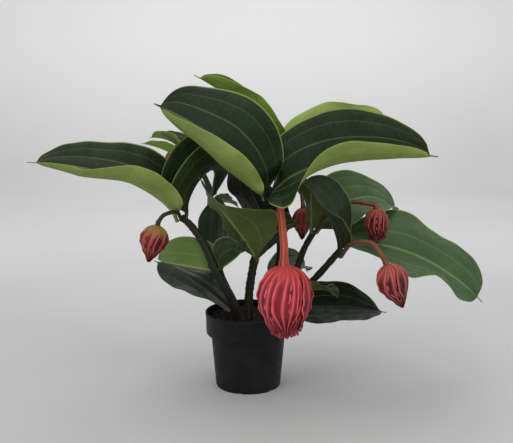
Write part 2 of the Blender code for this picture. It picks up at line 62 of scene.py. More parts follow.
# Pot and soil
POT_HEIGHT = 0.124
RIM_RADIUS = 0.070
BAND_LOW = 0.092             # height of the wide band's lower edge
BAND_RADIUS = 0.0685
BODY_RADIUS = 0.0608
FOOT_RADIUS = 0.0535
POT_WALL = 0.0022
POT_FLOOR = 0.004
NOTCHES = 6                  # drain notches round the foot
NOTCH_RADIUS = 0.005
NOTCH_DEPTH = 0.0025
POLE = 0.002                 # radius of the outline's ends, closed by a fan of faces
SOIL_TOP = 0.112
SOIL_CROWN = 0.003           # how much higher the soil is in the middle
HOLE_FLOOR = 0.086           # lowest point of the holes that the stems stand in
GAP = 0.0003                 # between the soil and the pot

# Stems
SWELL = 0.18                 # how much thicker a stem is at its joints, as a share of its radius
SWELL_HALF = 0.006
RING = 0.10                  # how much thicker it is at the faint rings
RING_HALF = 0.0022

# Blades
RIB_STEPS = 100              # pieces that the midrib's curve is summed from
BLADE_END = 0.95             # share of the length where the blade proper ends and the drawn-out tip begins
OPENING = 0.016              # half width from which the blade is folded in full
BLADE = 0.0009               # thickness
PLEAT = 0.0008               # how far the nerves sink below the blade between them
NERVE = 0.42                 # place of the side nerves, as a share of the half width
OUTER_NERVE = 0.74           # a finer nerve to either side, nearer the margin
SIDE_NERVES = ((NERVE, 0.028, 1.0), (OUTER_NERVE, 0.020, 0.55), (0.92, 0.014, 0.3))  # place, width, strength
CROSS_VEINS = 26.0           # how many lie along a blade
STALK_HALF = 0.0035          # half the width of a leaf stalk
SHOULDER = 0.063             # share of the length where the stalk has opened into the blade
TIP_HALF = 0.0007            # half the width of the tip
TAIL = 0.0015                # how much wider the last of the blade is before it
FULL_HALF = 0.03             # half width from which waves and grooves are at their full height
MARGIN_RIPPLE = 0.0009
STALK_SWELL = 0.0017         # how much thicker the blade is at its stalk
RIDGE = 0.0013               # height of the midrib's ridge underneath
RIDGE_HALF = 0.0022
FINE_GRID = (88, 45)         # rows and columns of a large blade
PLAIN_GRID = (54, 33)
ROOT = 0.0045                # how much further each leaf and flower stalk runs into what it springs from

# Bracts
BRACT = 0.0007               # thickness
BIG_BUD = 0.03               # radius from which a bud has a finer grid and more florets
BRACT_WAVE = 0.0011          # waves of a bract's margin on a bud of that radius
MOUTH_FLARE = 0.0035         # how far the outer bracts turn out at an open mouth
CORE_SHARE = 0.80            # radius of the body inside the bracts, as a share of the envelope
BUD_CLOSED = ((0.0, 0.17), (0.05, 0.48), (0.14, 0.78), (0.27, 0.97), (0.40, 1.0), (0.55, 0.86), (0.70, 0.62),
              (0.84, 0.36), (0.94, 0.16), (1.0, 0.05))
BUD_OPEN = ((0.0, 0.16), (0.035, 0.42), (0.11, 0.70), (0.24, 0.91), (0.40, 1.0), (0.55, 0.97), (0.70, 0.84),
            (0.82, 0.67), (0.91, 0.54), (1.0, 0.42))

# Patches of a surface: name, noise scale and noise detail
MOTTLE = (("Broad", 16.0, 3.0), ("Fine", 90.0, 4.0), ("Grain", 900.0, 2.0))

FIRST_BLOOM_SEED = 60        # the buds' seeds count up from it

# Camera and studio
EYE = (0.0138, -1.265, 0.498)
LOOK_DOWN = 10.1             # degrees below level
FOCAL_LENGTH = 56.0          # in millimetres
SENSOR = 36.0                # the sensor's width, in millimetres

# Where the leaves and the bloom stalks spring from
LEFT_FORK = (-0.050, -0.062, 0.209)
LEFT_TIP = (-0.103, -0.056, 0.290)
MIDDLE_FORK = (0.010, -0.027, 0.212)
MIDDLE_TIP = (0.030, -0.068, 0.321)
RIGHT_TIP = (0.108, 0.014, 0.255)
FAR_RIGHT_TIP = (0.147, -0.045, 0.238)
BACK_TIP = (0.062, 0.053, 0.361)
BACK_LEFT_TIP = (-0.091, 0.090, 0.352)
BACK_LEFT_FORK = (-0.060, 0.063, 0.208)
BACK_LEFT_NODE = (-0.065, 0.078, 0.286)


class Side(Enum):
    """The faces of a blade, in the order of its material slots."""
    UPPER = 0
    UNDER = 1
    MARGIN = 2


class Look(Enum):
    """How a leaf is coloured."""
    DEEP = "deep"
    FRESH = "fresh"
    OLIVE = "olive"
    BROAD = "broad"
    GLOSSY = "glossy"
    SHADED = "shaded"
    # a leaf's green with a painted bluish reflection of a glossy face
    BLUISH = "bluish"
    GREYISH = "greyish"
    SUNLIT = "sunlit"
    DUSKY = "dusky"


class LeafSlot(Enum):
    """The record's material slots for leaves; each leaf lists one, but its finish comes from its look."""
    PLAIN = "leaf"
    LIGHT = "leaf_light"
    DARK = "leaf_dark"


class BudPart(Enum):
    """The parts of a bud, in the order of its material slots."""
    BRACT = 0
    CORE = 1
    FLORET = 2


class Hue(Enum):
    """How a bud is coloured."""
    SALMON = "salmon"
    GREEN_TOPPED = "green_topped"
    ROSE = "rose"


def linear(red: int, green: int, blue: int) -> Colour:
    """Turn a colour as seen on a screen, 0 to 255, into the linear values that a shader takes.

    Args:
        red, green, blue: the colour's parts, 0 to 255.
    Returns:
        The same colour in linear light, 0 to 1.
    """
    parts = np.array((red, green, blue)) / 255.0
    low, high = parts / 12.92, ((parts + 0.055) / 1.055) ** 2.4
    return tuple(float(v) for v in np.where(parts <= 0.04045, low, high))


def smoothstep(low: float, high: float, x: np.ndarray) -> np.ndarray:
    """Nought below low, one above high, and 3t^2 - 2t^3 between them.

    Args:
        low, high: where the step starts and ends.
        x: values to ease.
    Returns:
        The eased values, 0 to 1.
    """
    t = np.clip((x - low) / (high - low), 0.0, 1.0)
    return t * t * (3.0 - 2.0 * t)


def unit(v: np.ndarray) -> np.ndarray:
    """Vectors at length one, along the last axis.

    Args:
        v: vectors of any length but nought.
    Returns:
        The same directions at length one.
    """
    v = np.asarray(v, float)
    return v / np.linalg.norm(v, axis=-1, keepdims=True)


def smooth_path(points: tuple, count: int) -> np.ndarray:
    """A Catmull-Rom curve: each span is the cubic through its two points with the neighbours' slopes.

    Args:
        points: the points that the curve goes through.
        count: how many points to return.
    Returns:
        Points on the curve, count by 3.
    """
    p = np.array(points, float)
    p = np.vstack([2.0 * p[0] - p[1], p, 2.0 * p[-1] - p[-2]])
    s = np.linspace(0.0, len(p) - 3.0, count)
    k = np.minimum(s.astype(int), len(p) - 4)
    t = (s - k)[:, None]
    a, b, c, d = p[k], p[k + 1], p[k + 2], p[k + 3]
    return 0.5 * (2.0 * b + (c - a) * t + (2.0 * a - 5.0 * b + 4.0 * c - d) * t ** 2
                  + (3.0 * b - a - 3.0 * c + d) * t ** 3)


def ripples(x: np.ndarray, y: np.ndarray, seed: int, low: float, high: float, waves: int = 22) -> np.ndarray:
    """A rough surface: the mean of plane waves with seeded directions, phases and frequencies.

    Args:
        x, y: places, in metres.
        seed: seed of the draw.
        low, high: range of the waves' frequencies, in radians a metre.
        waves: how many waves.
    Returns:
        Heights of about -1 to 1.
    """
    draw = np.random.default_rng(seed)
    turn = draw.uniform(0.0, 2.0 * np.pi, waves)
    pace = draw.uniform(low, high, waves)
    start = draw.uniform(0.0, 2.0 * np.pi, waves)
    phase = (np.multiply.outer(x, np.cos(turn) * pace) + np.multiply.outer(y, np.sin(turn) * pace)) + start
    return np.sin(phase).sum(-1) / math.sqrt(waves)


def frames_along(path: np.ndarray) -> tuple[np.ndarray, np.ndarray, np.ndarray]:
    """Directions along a path, and two square to it that turn as little as they can.

    The first cross direction is square to the path and to the normal of the plane that fits it best, so it
    never flips on a path that stays near one plane.

    Args:
        path: points, n by 3.
    Returns:
        Forward, side and up directions, each n by 3.
    """
    forward = unit(np.gradient(path, axis=0))
    guide = np.linalg.svd(path - path.mean(0), full_matrices=False)[2][-1]
    side = unit(np.cross(forward, guide))
    return forward, side, np.cross(forward, side)


@dataclass
class Skin:
    """Equal rings of points skinned into a closed body, with a UV map that follows its rows and columns.

    Attributes:
        rings: points, rows by columns by 3.
        across: the UV map's first value for each column.
        wrap: that value for the first column when it closes the ring.
        along: the UV map's second value for each row.
        slots: the material slot of each column's faces.
    """
    rings: np.ndarray
    across: np.ndarray
    wrap: float
    along: np.ndarray
    slots: np.ndarray

    def arrays(self, first: int) -> tuple[np.ndarray, np.ndarray, np.ndarray, np.ndarray]:
        """Points, triangles, their UVs and slots.  Each quad is split along one diagonal; ends are fans.

        Args:
            first: number of the first point.
        Returns:
            Points n by 3, triangles m by 3, UVs m by 3 by 2, slots m.
        """
        rows, count = self.rings.shape[:2]
        here = np.arange(rows * count).reshape(rows, count)
        there = np.roll(here, -1, 1)
        u_here = np.broadcast_to(self.across, (rows, count))
        u_there = np.broadcast_to(np.append(self.across[1:], self.wrap), (rows, count))
        v = np.broadcast_to(self.along[:, None], (rows, count))
        corners = [(here[:-1], u_here[:-1], v[:-1]), (there[:-1], u_there[:-1], v[:-1]),
                   (there[1:], u_there[1:], v[1:]), (here[1:], u_here[1:], v[1:])]
        faces, uvs, slots = [], [], []
        for trio in ((0, 1, 2), (0, 2, 3)):
            faces.append(np.stack([corners[k][0] for k in trio], -1).reshape(-1, 3))
            uvs.append(np.stack([np.stack(corners[k][1:], -1) for k in trio], -2).reshape(-1, 3, 2))
            slots.append(np.broadcast_to(self.slots, (rows - 1, count)).reshape(-1))
        for row, centre, order in ((0, rows * count, (0, 2, 1)), (rows - 1, rows * count + 1, (0, 1, 2))):
            fan = np.stack([np.full(count, centre), here[row], there[row]], -1)[:, list(order)]
            middle = np.full(count, 0.5 * (self.across[0] + self.wrap))
            fan_u = np.stack([middle, u_here[row], u_there[row]], -1)[:, list(order)]
            faces.append(fan)
            uvs.append(np.stack([fan_u, np.full((count, 3), self.along[row])], -1))
            slots.append(self.slots)
        points = np.vstack([self.rings.reshape(-1, 3), self.rings[0].mean(0), self.rings[-1].mean(0)])
        return points, np.vstack(faces) + first, np.vstack(uvs), np.concatenate(slots)


def make_piece(name: str, skins: list[Skin], materials: list[bpy.types.Material],
               sharp: float = 55.0) -> bpy.types.Object:
    """One object from closed skins, its faces turned outwards and shaded smooth.

    Args:
        name: the piece's name.
        skins: closed bodies to put in it.
        materials: its material slots.
        sharp: edges sharper than this many degrees stay crisp.
    Returns:
        The new object, at the origin.
    """
    points, faces, uvs, slots, total = [], [], [], [], 0
    for skin in skins:
        some_points, some_faces, some_uvs, some_slots = skin.arrays(total)
        points.append(some_points)
        faces.append(some_faces)
        uvs.append(some_uvs)
        slots.append(some_slots)
        total += len(some_points)
    points, faces = np.vstack(points), np.vstack(faces)
    mesh = bpy.data.meshes.new(name)
    mesh.from_pydata(points.tolist(), [], faces.tolist())
    layer = mesh.uv_layers.new(name="surface")
    layer.data.foreach_set("uv", np.vstack(uvs).astype(np.float32).ravel())
    mesh.polygons.foreach_set("material_index", np.concatenate(slots).astype(np.int32))
    for material in materials:
        mesh.materials.append(material)
    shell = bmesh.new()
    shell.from_mesh(mesh)
    bmesh.ops.recalc_face_normals(shell, faces=shell.faces[:])
    shell.to_mesh(mesh)
    shell.free()
    mesh.shade_smooth()
    mesh.set_sharp_from_angle(angle=math.radians(sharp))
    piece = bpy.data.objects.new(name, mesh)
    bpy.context.scene.collection.objects.link(piece)
    return piece


def hand_over(piece: bpy.types.Object, node: str) -> None:
    """Let a finished piece stand for a node of the frame.

    Args:
        piece: the finished piece.
        node: name of the node it stands for.
    """
    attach(piece, "root")
    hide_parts(node)
    LOG.info("%s: %d faces", node, len(piece.data.polygons))


def tube_skin(path: np.ndarray, radii: np.ndarray, sides: int, profile: np.ndarray, slot: int = 0) -> Skin:
    """A tube: at each point of the path a ring of radius radii times (1 + profile), square to the path.

    Args:
        path: centre line, n by 3.
        radii: radius at each point.
        sides: points round each ring.
        profile: how far each side stands out, as a share of the radius, n by sides or sides.
        slot: its material slot.
    Returns:
        The tube's skin.
    """
    _, side, up = frames_along(path)
    turn = np.linspace(0.0, 2.0 * np.pi, sides, endpoint=False)
    reach = radii[:, None] * (1.0 + np.broadcast_to(profile, (len(path), sides)))
    rings = (path[:, None, :] + side[:, None, :] * (np.cos(turn)[None, :] * reach)[..., None]
             + up[:, None, :] * (np.sin(turn)[None, :] * reach)[..., None])
    share = np.arange(sides) / sides
    return Skin(rings, share, 1.0, np.linspace(0.0, 1.0, len(path)), np.full(sides, slot))


class Wiring:
    """Adds nodes to a shader tree and joins them."""

    def __init__(self, tree: bpy.types.NodeTree) -> None:
        """Keep the tree that nodes are added to."""
        self.tree = tree

    def add(self, kind: str, inputs: dict | None = None, **settings: object) -> bpy.types.Node:
        """Add a node.

        Args:
            kind: the node's type name.
            inputs: a value or a socket for each input, by name or number.
            settings: the node's own settings.
        Returns:
            The new node.
        """
        node = self.tree.nodes.new(kind)
        for name, value in settings.items():
            setattr(node, name, value)
        for key, value in (inputs or {}).items():
            if isinstance(value, Socket):
                self.tree.links.new(value, node.inputs[key])
            else:
                node.inputs[key].default_value = value
        return node

    def maths(self, operation: str, a: Socket | float, b: Socket | float = 0.0) -> Socket:
        """Two values put together by the operation of that name."""
        return self.add("ShaderNodeMath", {0: a, 1: b}, operation=operation).outputs[0]

    def times(self, a: Socket | float, b: Socket | float) -> Socket:
        """Two values multiplied."""
        return self.maths("MULTIPLY", a, b)

    def plus(self, a: Socket | float, b: Socket | float) -> Socket:
        """Two values added."""
        return self.maths("ADD", a, b)

    def ease(self, value: Socket, low: float, high: float, start: float = 0.0, end: float = 1.0) -> Socket:
        """A smooth step from start to end as the value goes from low to high."""
        node = self.add("ShaderNodeMapRange", {0: value, 1: low, 2: high, 3: start, 4: end},
                        interpolation_type="SMOOTHSTEP")
        return node.outputs[0]

    def mix(self, share: Socket | float, a: Socket | Colour, b: Socket | Colour,
            how: str = "MIX") -> Socket:
        """A colour between two colours.

        Args:
            share: how much of the second there is, 0 to 1.
            a, b: the two colours.
            how: the way they are put together.
        Returns:
            The mixed colour.
        """
        node = self.tree.nodes.new("ShaderNodeMix")
        node.data_type = "RGBA"
        node.blend_type = how
        for key, value in ((0, share), (6, a), (7, b)):
            if isinstance(value, Socket):
                self.tree.links.new(value, node.inputs[key])
            else:
                node.inputs[key].default_value = (*value, 1.0) if isinstance(value, tuple) else value
        return node.outputs[2]

    def tint(self, colour: Socket | Colour, towards: Socket | Colour, mask: Socket, share: float) -> Socket:
        """A colour moved towards another by a share of a mask."""
        return self.mix(self.times(mask, share), colour, towards)

    def group(self, name: str, inputs: dict) -> bpy.types.bpy_prop_collection:
        """The outputs of a shared node group that is placed here with its own values."""
        return self.add("ShaderNodeGroup", inputs, node_tree=bpy.data.node_groups[name]).outputs

    def noise(self, vector: Socket, scale: float, detail: float = 3.0, rough: float = 0.55) -> Socket:
        """Smooth noise, about 0.3 to 0.7."""
        node = self.add("ShaderNodeTexNoise", {"Vector": vector, "Scale": scale, "Detail": detail,
                                               "Roughness": rough})
        return node.outputs["Fac"]

    def stretch(self, vector: Socket, scale: Point) -> Socket:
        """Scale a pattern's coordinates."""
        return self.add("ShaderNodeMapping", {"Vector": vector, "Scale": scale}).outputs[0]


def new_group(name: str, takes: dict,
              gives: tuple) -> tuple[bpy.types.NodeTree, Wiring, dict, bpy.types.Node]:
    """Start a shader node group.

    Args:
        name: the group's name.
        takes: each input's name and its default, a number, or None for a vector.
        gives: names of its value outputs.
    Returns:
        The group, its wiring, its input sockets by name, and its output node.
    """
    tree = bpy.data.node_groups.new(name, "ShaderNodeTree")
    for key, value in takes.items():
        kind = "NodeSocketVector" if value is None else "NodeSocketFloat"
        socket = tree.interface.new_socket(key, in_out="INPUT", socket_type=kind)
        if value is not None:
            socket.default_value = value
    for key in gives:
        tree.interface.new_socket(key, in_out="OUTPUT", socket_type="NodeSocketFloat")
    start = tree.nodes.new("NodeGroupInput")
    end = tree.nodes.new("NodeGroupOutput")
    return tree, Wiring(tree), {key: start.outputs[key] for key in takes}, end


def nerve_group() -> bpy.types.NodeTree:
    """A leaf's nerves, from its own UV map.

    The nerves run at fixed shares of the half width, so they meet at the base and the tip.  Between them lie
    cross veins, the crests of a wave along the leaf that is bowed by the place across and shaken by noise.

    Returns:
        A group that takes Surface and Place and gives Midrib, Nerve, Cross and Rim.
    """
    tree, wire, given, end = new_group("leaf_nerves", {"Surface": None, "Place": None},
                                       ("Midrib", "Nerve", "Cross", "Rim"))
    parts = wire.add("ShaderNodeSeparateXYZ", {0: given["Surface"]})
    half = wire.maths("ABSOLUTE", wire.maths("SUBTRACT", wire.times(parts.outputs[0], 2.0), 1.0))
    along = parts.outputs[1]
    shaken = wire.plus(half, wire.times(wire.noise(given["Place"], 45.0), 0.03))
    shaken = wire.maths("SUBTRACT", shaken, 0.015)
    midrib = wire.ease(half, 0.012, 0.055, 1.0, 0.0)
    nerve = 0.0
    for place, width, strength in SIDE_NERVES:
        gap = wire.maths("ABSOLUTE", wire.maths("SUBTRACT", shaken, place))
        line = wire.times(wire.ease(gap, width * 0.25, width, 1.0, 0.0), strength)
        nerve = wire.maths("MAXIMUM", nerve, line)
    bow = wire.maths("ABSOLUTE", wire.maths("SINE", wire.times(half, math.pi / NERVE)))
    beat = wire.plus(wire.times(along, CROSS_VEINS), wire.times(bow, 0.7))
    beat = wire.plus(beat, wire.times(wire.noise(given["Place"], 60.0), 1.6))
    crest = wire.maths("ABSOLUTE", wire.maths("SINE", wire.times(beat, math.pi)))
    cross = wire.ease(crest, 0.05, 0.32, 1.0, 0.0)
    rim = wire.ease(half, 0.955, 0.99)
    for key, socket in (("Midrib", midrib), ("Nerve", nerve), ("Cross", cross), ("Rim", rim)):
        tree.links.new(socket, end.inputs[key])
    return tree


def mottle_group() -> bpy.types.NodeTree:
    """Patchy variation at three sizes, from noise on the object's own coordinates.

    Returns:
        A group that takes Place and Size and gives Broad, Fine and Grain.
    """
    tree, wire, given, end = new_group("mottle", {"Place": None, "Size": 1.0}, ("Broad", "Fine", "Grain"))
    sized = wire.add("ShaderNodeVectorMath", {0: given["Place"]}, operation="SCALE")
    tree.links.new(given["Size"], sized.inputs["Scale"])
    for key, scale, detail in MOTTLE:
        fac = wire.noise(sized.outputs[0], scale, detail)
        tree.links.new(wire.ease(fac, 0.32, 0.68), end.inputs[key])
    return tree


def rib_group() -> bpy.types.NodeTree:
    """Ribs that run the length of a bract or a stalk, spread evenly across it, and the hollows between them.

    Returns:
        A group that takes Surface, Place and Count and gives Rib, Hollow, Streak and Along.
    """
    tree, wire, given, end = new_group("ribs", {"Surface": None, "Place": None, "Count": 4.0},
                                       ("Rib", "Hollow", "Streak", "Along"))
    parts = wire.add("ShaderNodeSeparateXYZ", {0: given["Surface"]})
    shake = wire.times(wire.noise(given["Place"], 40.0), 0.03)
    turn = wire.times(wire.plus(parts.outputs[0], shake), given["Count"])
    wave = wire.maths("ABSOLUTE", wire.maths("SINE", wire.times(turn, math.pi)))
    rib = wire.ease(wave, 0.08, 0.42, 1.0, 0.0)
    tree.links.new(wire.ease(wave, 0.36, 0.86), end.inputs["Hollow"])
    streaks = wire.noise(wire.stretch(given["Surface"], (60.0, 2.5, 1.0)), 1.0, 4.0)
    tree.links.new(rib, end.inputs["Rib"])
    tree.links.new(wire.ease(streaks, 0.35, 0.65), end.inputs["Streak"])
    tree.links.new(parts.outputs[1], end.inputs["Along"])
    return tree


def new_material(name: str, roughness: float,
                 gloss: float = 0.5) -> tuple[bpy.types.Material, Wiring, bpy.types.Node, Socket, Socket]:
    """A material with one Principled shader.

    Args:
        name: the material's name.
        roughness: its plain roughness.
        gloss: its specular level.
    Returns:
        The material, its wiring, the shader node, the UV socket and the Object socket.
    """
    made = bpy.data.materials.new(name)
    made.use_nodes = True
    wire = Wiring(made.node_tree)
    shader = made.node_tree.nodes["Principled BSDF"]
    shader.inputs["Roughness"].default_value = roughness
    shader.inputs["Specular IOR Level"].default_value = gloss
    place = wire.add("ShaderNodeTexCoord")
    return made, wire, shader, place.outputs["UV"], place.outputs["Object"]


def raise_bumps(wire: Wiring, shader: bpy.types.Node, height: Socket, strength: float, depth: float) -> None:
    """Feed a height into the shader's normal.

    Args:
        wire: the material's wiring.
        shader: its Principled shader.
        height: the height, 0 to 1.
        strength: how strongly it shows.
        depth: how deep 1 is, in metres.
    """
    bump = wire.add("ShaderNodeBump", {"Strength": strength, "Distance": depth, "Height": height})
    wire.tree.links.new(bump.outputs[0], shader.inputs["Normal"])


def vary_roughness(wire: Wiring, shader: bpy.types.Node, mask: Socket, low: float, high: float) -> None:
    """Let a mask carry the shader's roughness from low to high.

    Args:
        wire: the material's wiring.
        shader: its Principled shader.
        mask: what the roughness follows, 0 to 1.
        low, high: roughness where the mask is 0 and where it is 1.
    """
    wire.tree.links.new(wire.ease(mask, 0.0, 1.0, low, high), shader.inputs["Roughness"])


@dataclass(frozen=True)
class FaceMarks:
    """How strongly the marks of one face of a leaf show, and how far its nerves stand out or sink."""
    cross: float
    nerve: float
    midrib: float
    relief: float


UPPER_MARKS = FaceMarks(0.035, 0.17, 0.34, -0.8)
UNDER_MARKS = FaceMarks(0.12, 0.34, 0.80, 0.8)


@dataclass(frozen=True)
class LeafFinish:
    """A leathery leaf: both faces, their patches, the nerves and the pale rim."""
    name: str
    upper: Colour
    upper_patch: Colour
    # where pale, the underside is partly its own paler green and partly painted light shining through the
    # blade
    under: Colour
    under_patch: Colour
    nerve: Colour
    rim: Colour
    upper_rough: float = 0.46
    under_rough: float = 0.60
    gloss: float = 0.2            # the shader's specular level
    patch_share: float = 0.30     # how strongly the small patches show
    rim_share: float = 0.7        # how strongly the rim shows on the faces
    bump: float = 0.55
    bump_depth: float = 0.0009

    def dress(self, side: Side) -> bpy.types.Material:
        """The material of one side of the blade.

        Args:
            side: which side.
        Returns:
            The material.
        """
        upper = side is Side.UPPER
        marks = UPPER_MARKS if upper else UNDER_MARKS
        rough = self.upper_rough if upper else self.under_rough
        name = f"{self.name}_{side.name.lower()}"
        made, wire, shader, surface, place = new_material(name, rough, self.gloss)
        nerves = wire.group("leaf_nerves", {"Surface": surface, "Place": place})
        patches = wire.group("mottle", {"Place": place})
        base, patch = (self.upper, self.upper_patch) if upper else (self.under, self.under_patch)
        if side is Side.MARGIN:
            base, patch = self.rim, self.under
        colour = wire.mix(patches["Broad"], base, patch)
        colour = wire.tint(colour, patch, patches["Fine"], self.patch_share)
        if side is not Side.MARGIN:
            colour = wire.tint(colour, self.nerve, nerves["Cross"], marks.cross)
            colour = wire.tint(colour, self.nerve, nerves["Nerve"], marks.nerve)
            colour = wire.tint(colour, self.nerve, nerves["Midrib"], marks.midrib)
            colour = wire.tint(colour, self.rim, nerves["Rim"], self.rim_share)
        wire.tree.links.new(colour, shader.inputs["Base Color"])
        vary_roughness(wire, shader, patches["Fine"], rough - 0.07, rough + 0.10)
        lines = wire.maths("MAXIMUM", nerves["Nerve"], nerves["Midrib"])
        lines = wire.maths("MAXIMUM", lines, wire.times(nerves["Cross"], 0.22))
        height = wire.times(lines, marks.relief)
        height = wire.plus(height, wire.times(patches["Fine"], 0.35))
        height = wire.plus(height, wire.times(patches["Grain"], 0.06))
        raise_bumps(wire, shader, height, self.bump, self.bump_depth)
        return made


@dataclass(frozen=True)
class BractFinish:
    """A satin bract: its colour from shoulder to tip, painted shade in the hollows between its ribs, pale
    ribs and streaks.
    """
    name: str
    shoulder: Colour
    body: Colour
    tip: Colour
    rib: Colour
    ribs: float = 4.0
    roughness: float = 0.42
    gloss: float = 0.3
    coat: float = 0.06
    coat_rough: float = 0.35
    patch_share: float = 0.14     # how strongly pale patches, dark streaks and pale ribs show
    streak_share: float = 0.34
    rib_share: float = 0.68
    bump: float = 0.7
    bump_depth: float = 0.0007

    def dress(self) -> bpy.types.Material:
        """The bract's material.

        Returns:
            The material.
        """
        made, wire, shader, surface, place = new_material(self.name, self.roughness, self.gloss)
        ribs = wire.group("ribs", {"Surface": surface, "Place": place, "Count": self.ribs})
        patches = wire.group("mottle", {"Place": place, "Size": 2.0})
        colour = wire.mix(wire.ease(ribs["Along"], 0.06, 0.34), self.shoulder, self.body)
        colour = wire.tint(colour, self.rib, patches["Broad"], self.patch_share)
        colour = wire.mix(wire.ease(ribs["Along"], 0.62, 1.0, 0.0, 0.75), colour, self.tip)
        # painted shade: the hollows between ribs turn towards the dark tip colour, more so further down
        deep = wire.times(ribs["Hollow"], wire.ease(ribs["Along"], 0.04, 0.34, 0.15, 0.98))
        deep = wire.times(deep, wire.ease(patches["Broad"], 0.0, 1.0, 1.0, 0.68))
        colour = wire.mix(deep, colour, self.tip)
        colour = wire.tint(colour, self.tip, ribs["Streak"], self.streak_share)
        colour = wire.tint(colour, self.rib, ribs["Rib"], self.rib_share)
        wire.tree.links.new(colour, shader.inputs["Base Color"])
        vary_roughness(wire, shader, patches["Fine"], self.roughness - 0.06, self.roughness + 0.12)
        height = wire.plus(ribs["Rib"], wire.times(ribs["Streak"], 0.5))
        height = wire.plus(height, wire.times(patches["Grain"], 0.12))
        raise_bumps(wire, shader, height, self.bump, self.bump_depth)
        shader.inputs["Coat Weight"].default_value = self.coat
        shader.inputs["Coat Roughness"].default_value = self.coat_rough
        return made


@dataclass(frozen=True)
class BarkFinish:
    """Woody or fleshy skin that changes colour along its length, with streaks, pores and painted shade in the
    hollows between its ribs.
    """
    name: str
    foot: Colour
    top: Colour
    ridge: Colour
    ribs: float = 4.0
    roughness: float = 0.62
    bump: float = 0.8
    bump_depth: float = 0.0006
    gloss: float = 0.3
    shade: Colour = (0.45, 0.45, 0.45)   # multiplied in to darken: painted shade in the hollows, and the pores' own darker tone
    ridge_share: float = 0.55
    hollow_shade_share: float = 0.6
    pore_share: float = 0.45
    streak_share: float = 0.25

    def dress(self) -> bpy.types.Material:
        """The skin's material.

        Returns:
            The material.
        """
        made, wire, shader, surface, place = new_material(self.name, self.roughness, self.gloss)
        ribs = wire.group("ribs", {"Surface": surface, "Place": place, "Count": self.ribs})
        patches = wire.group("mottle", {"Place": place, "Size": 2.4})
        colour = wire.mix(wire.ease(ribs["Along"], 0.1, 0.9), self.foot, self.top)
        colour = wire.tint(colour, self.ridge, ribs["Rib"], self.ridge_share)
        dark = wire.mix(1.0, colour, self.shade, "MULTIPLY")
        # painted shade in the hollows between ribs
        colour = wire.tint(colour, dark, ribs["Hollow"], self.hollow_shade_share)
        colour = wire.tint(colour, dark, patches["Fine"], self.pore_share)
        colour = wire.tint(colour, self.ridge, ribs["Streak"], self.streak_share)
        wire.tree.links.new(colour, shader.inputs["Base Color"])
        vary_roughness(wire, shader, patches["Fine"], self.roughness - 0.1, self.roughness + 0.12)
        height = wire.plus(patches["Fine"], wire.times(ribs["Streak"], 0.8))
        height = wire.plus(height, wire.times(patches["Grain"], 0.2))
        raise_bumps(wire, shader, height, self.bump, self.bump_depth)
        return made


@dataclass(frozen=True)
class SoilFinish:
    """Damp potting soil: dark crumbs, paler fibres and a few light specks."""
    name: str = "potting_soil"
    dark: Colour = linear(38, 30, 25)
    crumb: Colour = linear(78, 60, 46)
    speck: Colour = linear(150, 128, 100)
    roughness: float = 0.9
    speck_scale: float = 260.0
    bump_depth: float = 0.0022

    def dress(self) -> bpy.types.Material:
        """The soil's material.

        Returns:
            The material.
        """
        made, wire, shader, _, place = new_material(self.name, self.roughness)
        patches = wire.group("mottle", {"Place": place, "Size": 3.2})
        colour = wire.mix(patches["Fine"], self.dark, self.crumb)
        cells = wire.add("ShaderNodeTexVoronoi", {"Vector": place, "Scale": self.speck_scale})
        specks = wire.ease(cells.outputs["Distance"], 0.10, 0.22, 0.8, 0.0)
        specks = wire.times(specks, wire.ease(wire.noise(place, 120.0), 0.58, 0.66))
        colour = wire.mix(specks, colour, self.speck)
        wire.tree.links.new(colour, shader.inputs["Base Color"])
        vary_roughness(wire, shader, patches["Broad"], 0.72, 0.98)
        height = wire.plus(patches["Fine"], wire.times(patches["Grain"], 0.6))
        raise_bumps(wire, shader, height, 1.0, self.bump_depth)
        return made


@dataclass(frozen=True)
class PotFinish:
    """Black moulded plastic with a fine grain, a little dust and duller patches."""
    name: str = "pot_plastic"
    black: Colour = linear(13, 13, 14)
    worn: Colour = linear(22, 22, 23)
    dust: Colour = linear(58, 56, 52)
    dust_share: float = 0.14
    roughness: float = 0.5
    gloss: float = 0.2
    bump: float = 0.35
    bump_depth: float = 0.0004

    def dress(self) -> bpy.types.Material:
        """The pot's material.

        Returns:
            The material.
        """
        made, wire, shader, surface, place = new_material(self.name, self.roughness, self.gloss)
        patches = wire.group("mottle", {"Place": place, "Size": 1.6})
        colour = wire.mix(patches["Broad"], self.black, self.worn)
        dusty = wire.times(patches["Fine"], patches["Broad"])
        colour = wire.tint(colour, self.dust, dusty, self.dust_share)
        wire.tree.links.new(colour, shader.inputs["Base Color"])
        vary_roughness(wire, shader, patches["Fine"], self.roughness - 0.08, self.roughness + 0.08)
        flow = wire.noise(wire.stretch(surface, (3.0, 40.0, 1.0)), 1.0, 3.0)
        height = wire.plus(patches["Grain"], wire.times(flow, 0.7))
        raise_bumps(wire, shader, height, self.bump, self.bump_depth)
        return made


@dataclass(frozen=True)
class FloorFinish:
    """A plain pale floor with the faintest unevenness, and painted light: paler with height where it bends up
    behind the plant.
    """
    name: str = "pale_floor"
    pale: Colour = linear(192, 192, 192)
    shade: Colour = linear(186, 186, 185)
    painted_light: Colour = linear(212, 212, 212)
    painted_light_from: float = 0.8      # height in metres from which the painted light is palest
    roughness: float = 0.85

    def dress(self) -> bpy.types.Material:
        """The floor's material.

        Returns:
            The material.
        """
        made, wire, shader, _, place = new_material(self.name, self.roughness)
        colour = wire.mix(wire.ease(wire.noise(place, 1.4), 0.3, 0.7), self.pale, self.shade)
        height = wire.add("ShaderNodeSeparateXYZ", {0: place}).outputs[2]
        # painted light: the sheet turns paler with height, as if more light fell on the wall
        colour = wire.mix(wire.ease(height, 0.0, self.painted_light_from), colour, self.painted_light)
        wire.tree.links.new(colour, shader.inputs["Base Color"])
        return made


